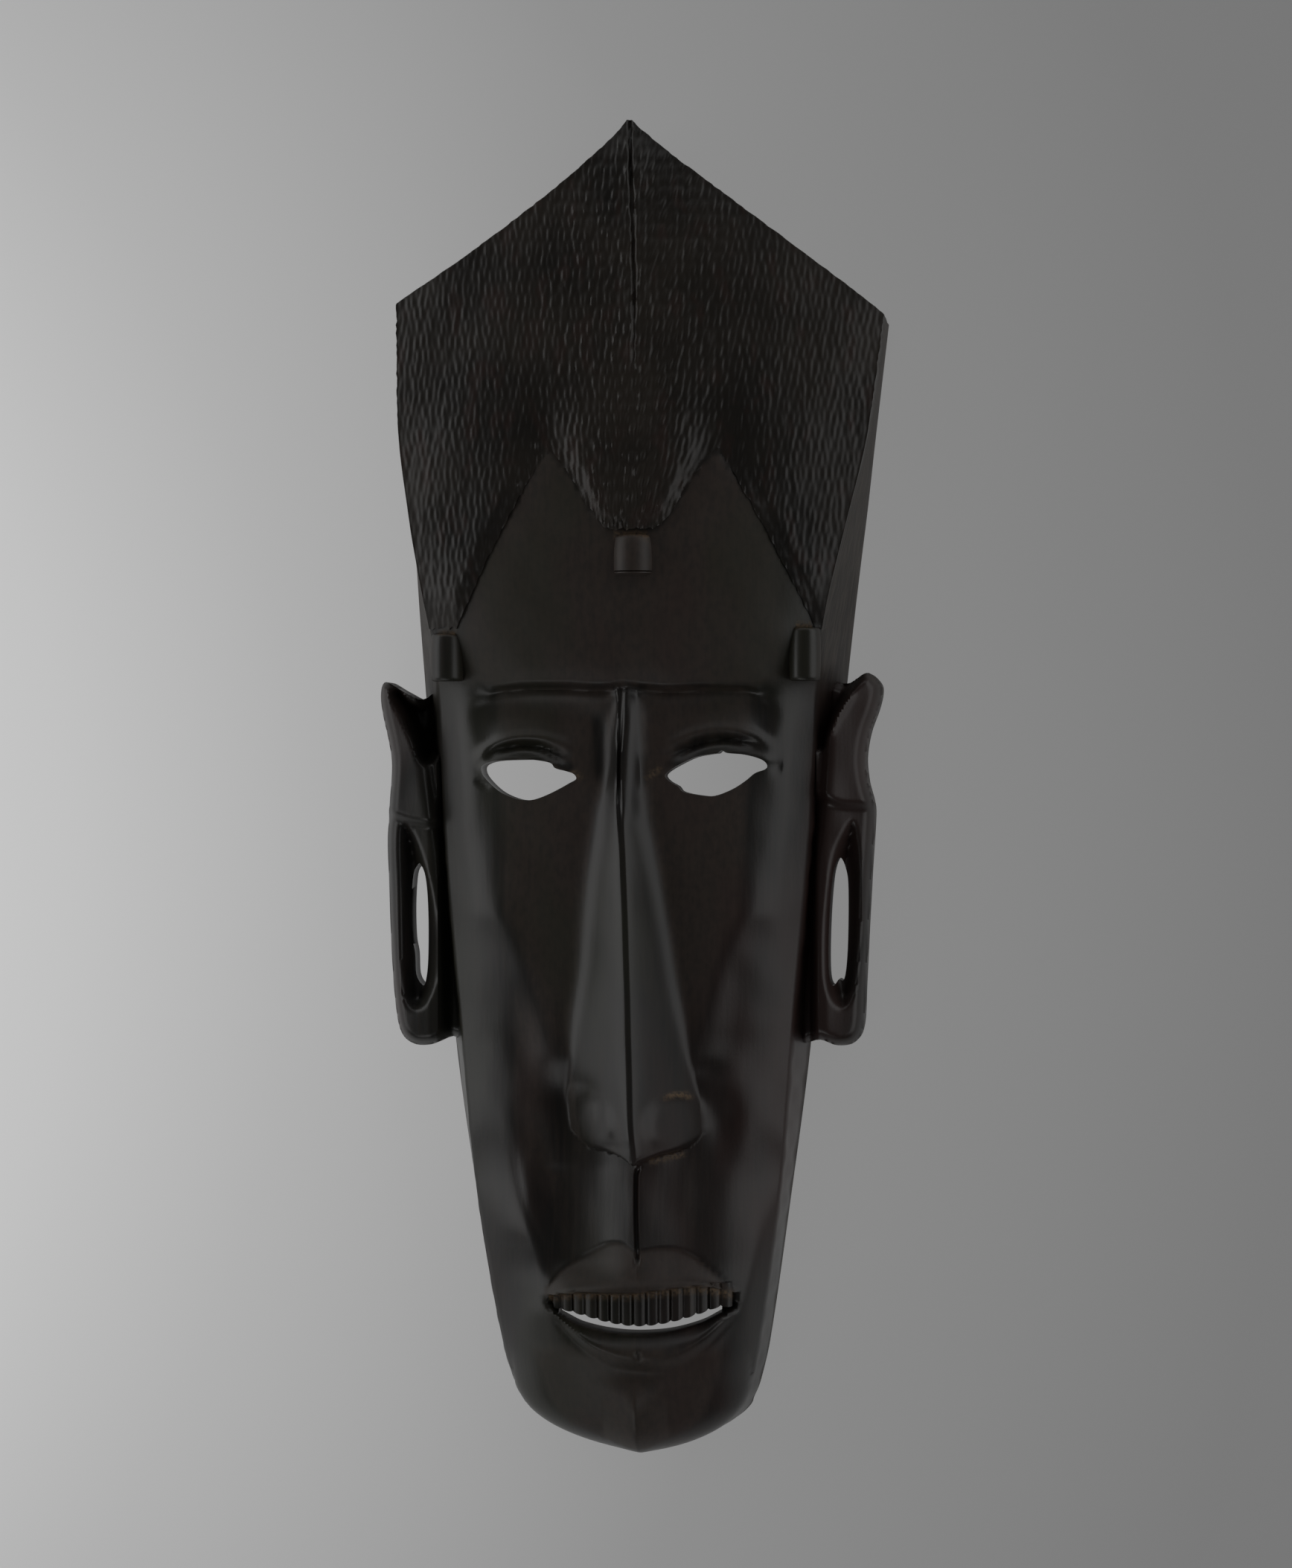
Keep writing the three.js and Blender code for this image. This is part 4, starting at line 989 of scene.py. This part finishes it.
def rough_wood(x, y, z, up, inset):
    """The side walls of the crown, the back, the hollow's inside and the walls of the holes."""
    depth = frontness(x, y) - z
    side_wall = blend(-0.6, 0.2, 0.3 - up) * blend(20, 50, y) * blend(-4, 0, -inset)
    back = 1 - blend(-0.5, 0.1, up)
    inner = blend(6, 12, depth) * (inset > 3)
    walls = blend(0.4, 0.1, np.abs(up)) * (inset > 3) * (y < BROW) * blend(1, 2.5, depth)
    return np.maximum.reduce([side_wall, back, inner, walls])


def matt_wood(x, y, inset):
    """The cheeks, lips, brow, muzzle, left valley and chin, but for the polished lids, and the eye pit and
    eyelid creases, which turn glossy and are painted near black as shade.
    """
    aside = np.abs(x - spine(y))
    ridge = ridge_line(y)
    foot = np.where(x < ridge, nose_left(y), nose_right(y))
    panel = blend(-1, 3, np.abs(x - ridge) - foot) * (1 - blend(-6, 2, aside - panel_within(y)))
    cheek = panel * blend(-118, -70, y) * (1 - blend(BROW - 2, BROW + 2, y))
    lip = blend(-0.5, 1, lip_top(x) - y) * blend(-1, 1, y - lip_foot(x))
    lip = lip * (np.abs(x - MOUTH_MIDDLE) < LIP_HALF)
    brow = BROW_MATT * blend(BROW - 2, BROW + 4, y) * (1 - blend(50, 70, aside))
    beside_mouth = MUZZLE_MATT * panel * (1 - blend(-118, -90, y)) * blend(-215, -200, y)
    valley = stroke(x, y, LEFT_VALLEY, *VALLEY_MATT)
    under_mouth = CHIN_MATT * blend(-205, -215, y) * blend(10, 16, inset)
    # Painted shade: the pit and the creases are taken out of the matt, so their colour goes near black; the
    # lids only turn glossy
    worn = [stroke(x, y, LEFT_EYE_PIT, *PIT_SHADE_AND_GLOSS)]
    for _, crease, lid in EYES:
        worn += [stroke(x, y, crease, *CREASE_SHADE_AND_GLOSS), stroke(x, y, lid, *LID_POLISH)]
    matt = np.maximum.reduce([cheek, lip, brow, beside_mouth, valley, under_mouth])
    return matt * (1 - np.maximum.reduce(worn))


def residue(x, y):
    """Pale dust left in creases, under the beads and along the tops of the teeth."""
    below = y - lip_foot(x)
    tooth_tops = blend(-3.2, -0.6, below) * (1 - blend(-0.3, 0.8, below))
    tooth_tops = tooth_tops * (np.abs(x - MOUTH_MIDDLE) < TEETH.half)
    return strokes(x, y, RESIDUE_MARKS) + TOOTH_RESIDUE * tooth_tops


def paint_zones(mesh):
    count = len(mesh.vertices)
    place = np.empty(count * 3)
    mesh.vertices.foreach_get("co", place)
    x, y, z = (place.reshape(-1, 3) / MM + (*ORIGIN, 0)).T
    normal = np.empty(count * 3, np.float32)
    mesh.vertex_normals.foreach_get("vector", normal)
    up = normal.reshape(-1, 3)[:, 2]
    inset = front_half(y) - np.abs(x - spine(y))
    in_hair = blend(-1, 0.6, y - hairline(x)) * (y > HAIR_FOOT - 2) * blend(-0.2, 0.3, up)
    near_bead = (np.abs(x - CENTRE_BEAD.x) < 8.5) & (np.abs(y - CENTRE_BEAD.y) < 7.6)
    in_hair = in_hair * (1 - near_bead)
    zones = {"hair": in_hair, "rough": rough_wood(x, y, z, up, inset), "residue": residue(x, y),
             "matt": matt_wood(x, y, inset) * (1 - in_hair) * (1 - blend(-1.5, 0.5, -inset))}
    for name, values in zones.items():
        attribute = mesh.attributes.new(name, "FLOAT", "POINT")
        attribute.data.foreach_set("value", np.clip(values, 0, 1).astype(np.float32))


# Materials
class Shading:
    """Adds nodes to one material, and joins each of them to what feeds it."""

    def __init__(self, name):
        self.material = bpy.data.materials.new(name)
        self.material.use_nodes = True
        self.tree = self.material.node_tree
        self.shader = self.tree.nodes["Principled BSDF"].inputs
        self.place = self.node("ShaderNodeTexCoord", {}).outputs["Object"]

    def node(self, kind, feeds, **settings):
        made = self.tree.nodes.new(kind)
        for name, value in settings.items():
            setattr(made, name, value)
        for name, value in feeds.items():
            self.feed(made.inputs[name], value)
        return made

    def feed(self, socket, value):
        if isinstance(value, (int, float, tuple)):
            socket.default_value = value
        else:
            self.tree.links.new(value, socket)

    def add(self, a, b):
        return self.node("ShaderNodeMath", {0: a, 1: b}, operation="ADD").outputs[0]

    def times(self, a, b):
        return self.node("ShaderNodeMath", {0: a, 1: b}, operation="MULTIPLY").outputs[0]

    def mix(self, factor, a, b):
        """A mix node's colours come in at its sockets 6 and 7, and leave at 2."""
        return self.node("ShaderNodeMix", {0: factor, 6: a, 7: b}, data_type="RGBA").outputs[2]

    def remap(self, value, low, high, to_low=0, to_high=1):
        feeds = {"Value": value, "From Min": low, "From Max": high, "To Min": to_low, "To Max": to_high}
        return self.node("ShaderNodeMapRange", feeds).outputs["Result"]

    def zone(self, name):
        return self.node("ShaderNodeAttribute", {}, attribute_name=name).outputs["Fac"]

    def noise(self, scale, detail, stretch=(1, 1, 1)):
        place = self.node("ShaderNodeMapping", {"Scale": stretch, "Vector": self.place}).outputs["Vector"]
        feeds = {"Scale": scale, "Detail": detail, "Vector": place}
        return self.node("ShaderNodeTexNoise", feeds).outputs["Fac"]


EBONY_BLACK = (0.014, 0.013, 0.012, 1)
EBONY_BROWN = (0.043, 0.031, 0.0245, 1)
EBONY_RED = (0.044, 0.022, 0.019, 1)
EBONY_OLIVE = (0.026, 0.028, 0.016, 1)
HAIR_DARK = (0.010, 0.0085, 0.0068, 1)
HAIR_LIGHT = (0.026, 0.020, 0.0145, 1)
HAIR_RED = (0.035, 0.018, 0.014, 1)
ROUGH_WOOD = (0.056, 0.046, 0.037, 1)
ROUGH_SHADE = (0.021, 0.017, 0.014, 1)
RESIDUE = (0.20, 0.13, 0.07, 1)
# Each noise by its scale, its detail and its stretch
NOISES = {
    "grain": (120, 6, (6, 0.5, 2)), "patch": (22, 4), "speck": (900, 3), "streak": (60, 4, (3.5, 0.3, 1)),
    "mottle": (340, 5, (1.4, 0.8, 1)), "cast": (14, 3, (1.5, 0.6, 1)), "tuft": (150, 3, (1, 0.5, 1)),
    "torn": (60, 5, (8, 0.8, 8))}
POLISH = (0.30, 0.38)
DULLER = {"matt": 0.17, "hair": 0.06, "rough": 0.3, "dusty": 0.3}
ROUGH_COVER = 0.85
RELIEF = Sizes(grain=0.6, speck=0.4, torn=4, distance=0.00012, strength=0.45)


def ebony():
    m = Shading("ebony")
    look = {name: m.noise(*spec) for name, spec in NOISES.items()}
    rough = m.zone("rough")
    worn = m.remap(look["streak"], 0.35, 0.65, -0.18, 0.18)
    matt = m.remap(m.add(m.zone("matt"), worn), 0.1, 0.8)
    mottle = m.remap(look["mottle"], 0.3, 0.7, 0.45, 1.05)
    # Where the matt is taken away the colour goes near black, which in the eye pit and the eyelid creases is
    # painted shade
    brownness = m.add(m.times(matt, mottle), m.remap(look["grain"], 0.4, 0.7, 0, 0.25))
    colour = m.mix(brownness, EBONY_BLACK, EBONY_BROWN)
    colour = m.mix(m.remap(look["cast"], 0.52, 0.66, 0, 0.55), colour, EBONY_RED)
    colour = m.mix(m.remap(look["cast"], 0.48, 0.36, 0, 0.45), colour, EBONY_OLIVE)
    hair_colour = m.mix(m.remap(look["patch"], 0.35, 0.65), HAIR_DARK, HAIR_LIGHT)
    hair_colour = m.mix(m.remap(look["tuft"], 0.55, 0.68, 0, 0.5), hair_colour, HAIR_RED)
    colour = m.mix(m.zone("hair"), colour, hair_colour)
    rough_colour = m.mix(m.remap(look["torn"], 0.38, 0.62), ROUGH_SHADE, ROUGH_WOOD)
    colour = m.mix(m.times(rough, ROUGH_COVER), colour, rough_colour)
    dusty = m.times(m.zone("residue"), m.remap(look["speck"], 0.35, 0.6, 0.1, 1))
    m.feed(m.shader["Base Color"], m.mix(dusty, colour, RESIDUE))
    gloss = m.remap(look["patch"], 0.3, 0.7, *POLISH)
    for name, value in (("matt", matt), ("hair", m.zone("hair")), ("rough", rough), ("dusty", dusty)):
        gloss = m.add(gloss, m.times(value, DULLER[name]))
    m.feed(m.shader["Roughness"], gloss)
    fine = m.add(m.times(look["grain"], RELIEF.grain), m.times(look["speck"], RELIEF.speck))
    fine = m.add(fine, m.times(m.times(look["torn"], rough), RELIEF.torn))
    bump = {"Distance": RELIEF.distance, "Strength": RELIEF.strength, "Height": fine}
    m.feed(m.shader["Normal"], m.node("ShaderNodeBump", bump).outputs["Normal"])
    m.shader["Specular IOR Level"].default_value = 0.5
    return m.material


# The paper's glow, which is painted light, by its distance in metres from a place to the left of the mask
PAPER_BRIGHT_PLACE = (-0.6, -0.03, 0)
PAPER_GLOW = [(0.3, 0.56), (0.38, 0.5), (0.47, 0.40), (0.66, 0.24), (0.85, 0.16), (1, 0.13)]
PAPER = Sizes(colour=(0.1, 0.1, 0.1, 1), roughness=0.9, reach=6)


def floor_material():
    """Paper that looks pale by its glow, which is painted light, brighter towards the left as in the
    photograph.
    """
    m = Shading("paper")
    distance = m.node("ShaderNodeVectorMath", {0: m.place, 1: PAPER_BRIGHT_PLACE}, operation="DISTANCE")
    ramp = m.node("ShaderNodeValToRGB", {0: distance.outputs["Value"]})
    for _ in range(len(PAPER_GLOW) - 2):
        ramp.color_ramp.elements.new(0.5)
    for element, (away, grey) in zip(ramp.color_ramp.elements, PAPER_GLOW):
        element.position = away
        element.color = (grey, grey, grey, 1)
    # Painted light: the paper glows of itself, brighter towards the left
    m.feed(m.shader["Emission Color"], ramp.outputs["Color"])
    m.shader["Base Color"].default_value = PAPER.colour
    m.shader["Emission Strength"].default_value = 1.0
    m.shader["Roughness"].default_value = PAPER.roughness
    return m.material


def floor():
    mesh = bpy.data.meshes.new("floor")
    corners = [(-1, -1), (1, -1), (1, 1), (-1, 1)]
    mesh.from_pydata([(x * PAPER.reach, y * PAPER.reach, 0) for x, y in corners], [], [(0, 1, 2, 3)])
    mesh.materials.append(floor_material())
    place_object("floor", mesh)


# Each lamp by its place, what it faces, its size and its power
LAMPS = {
    "left_panel": ((-1.25, 0.6, 0.42), (0, 0.6, 0.03), (2.2, 0.8), 6.3),
    "right_panel": ((1.2, 0.45, 0.55), (0, 0.45, 0.03), (2, 1.1), 5.6),
    "top_panel": ((0, 1.4, 0.8), (0, 0, 0.03), (1.8, 0.7), 2.2),
    "foot_panel": ((-0.5, -1.2, 0.85), (0, 0, 0.03), (1.2, 0.6), 2.4),
}
STUDIO_GREY = (0.04, 0.04, 0.04, 1)


def lights():
    world = bpy.data.worlds.new("studio")
    world.use_nodes = True
    world.node_tree.nodes["Background"].inputs["Color"].default_value = STUDIO_GREY
    bpy.context.scene.world = world
    for name, (place, aim, size, power) in LAMPS.items():
        light = bpy.data.lights.new(name, "AREA")
        light.shape = "RECTANGLE"
        light.size, light.size_y = size
        light.energy = power
        made = place_object(name, light)
        made.location = place
        back = (Vector(place) - Vector(aim)).normalized()
        across = Vector((0, 0, 1)).cross(back).normalized()
        made.rotation_euler = Matrix((across, back.cross(across), back)).transposed().to_euler()


# Camera: the photograph looks down on the mask from a little to its right
PHOTO_HEIGHT = 2107
PIXEL_MM = 0.284
VIEW_DISTANCE = 2.0
VIEW_YAW = math.radians(5)
VIEW_MIDDLE = (1.7, 0)
SENSOR = 24.0


def camera():
    data = bpy.data.cameras.new("camera")
    data.sensor_fit = "VERTICAL"
    data.sensor_height = SENSOR
    data.lens = SENSOR * VIEW_DISTANCE / (PHOTO_HEIGHT * PIXEL_MM * MM)
    made = place_object("camera", data)
    right = Vector((math.cos(VIEW_YAW), 0, -math.sin(VIEW_YAW)))
    back = Vector((math.sin(VIEW_YAW), 0, math.cos(VIEW_YAW)))
    middle = Vector(((VIEW_MIDDLE[0] - ORIGIN[0]) * MM, (VIEW_MIDDLE[1] - ORIGIN[1]) * MM, 0))
    turned = Matrix((right, Vector((0, 1, 0)), back)).transposed().to_4x4()
    turned.translation = middle + back * VIEW_DISTANCE
    made.matrix_world = turned
    bpy.context.scene.camera = made


SHARP_ANGLE = math.radians(50)

camera()
floor()
lights()
mask = build_mask()
paint_zones(mask.data)
mask.data.materials.clear()
mask.data.materials.append(ebony())
mask.data.shade_smooth()
mask.data.set_sharp_from_angle(angle=SHARP_ANGLE)
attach(mask, "root")
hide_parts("mask")
bpy.context.scene.view_settings.view_transform = "Standard"
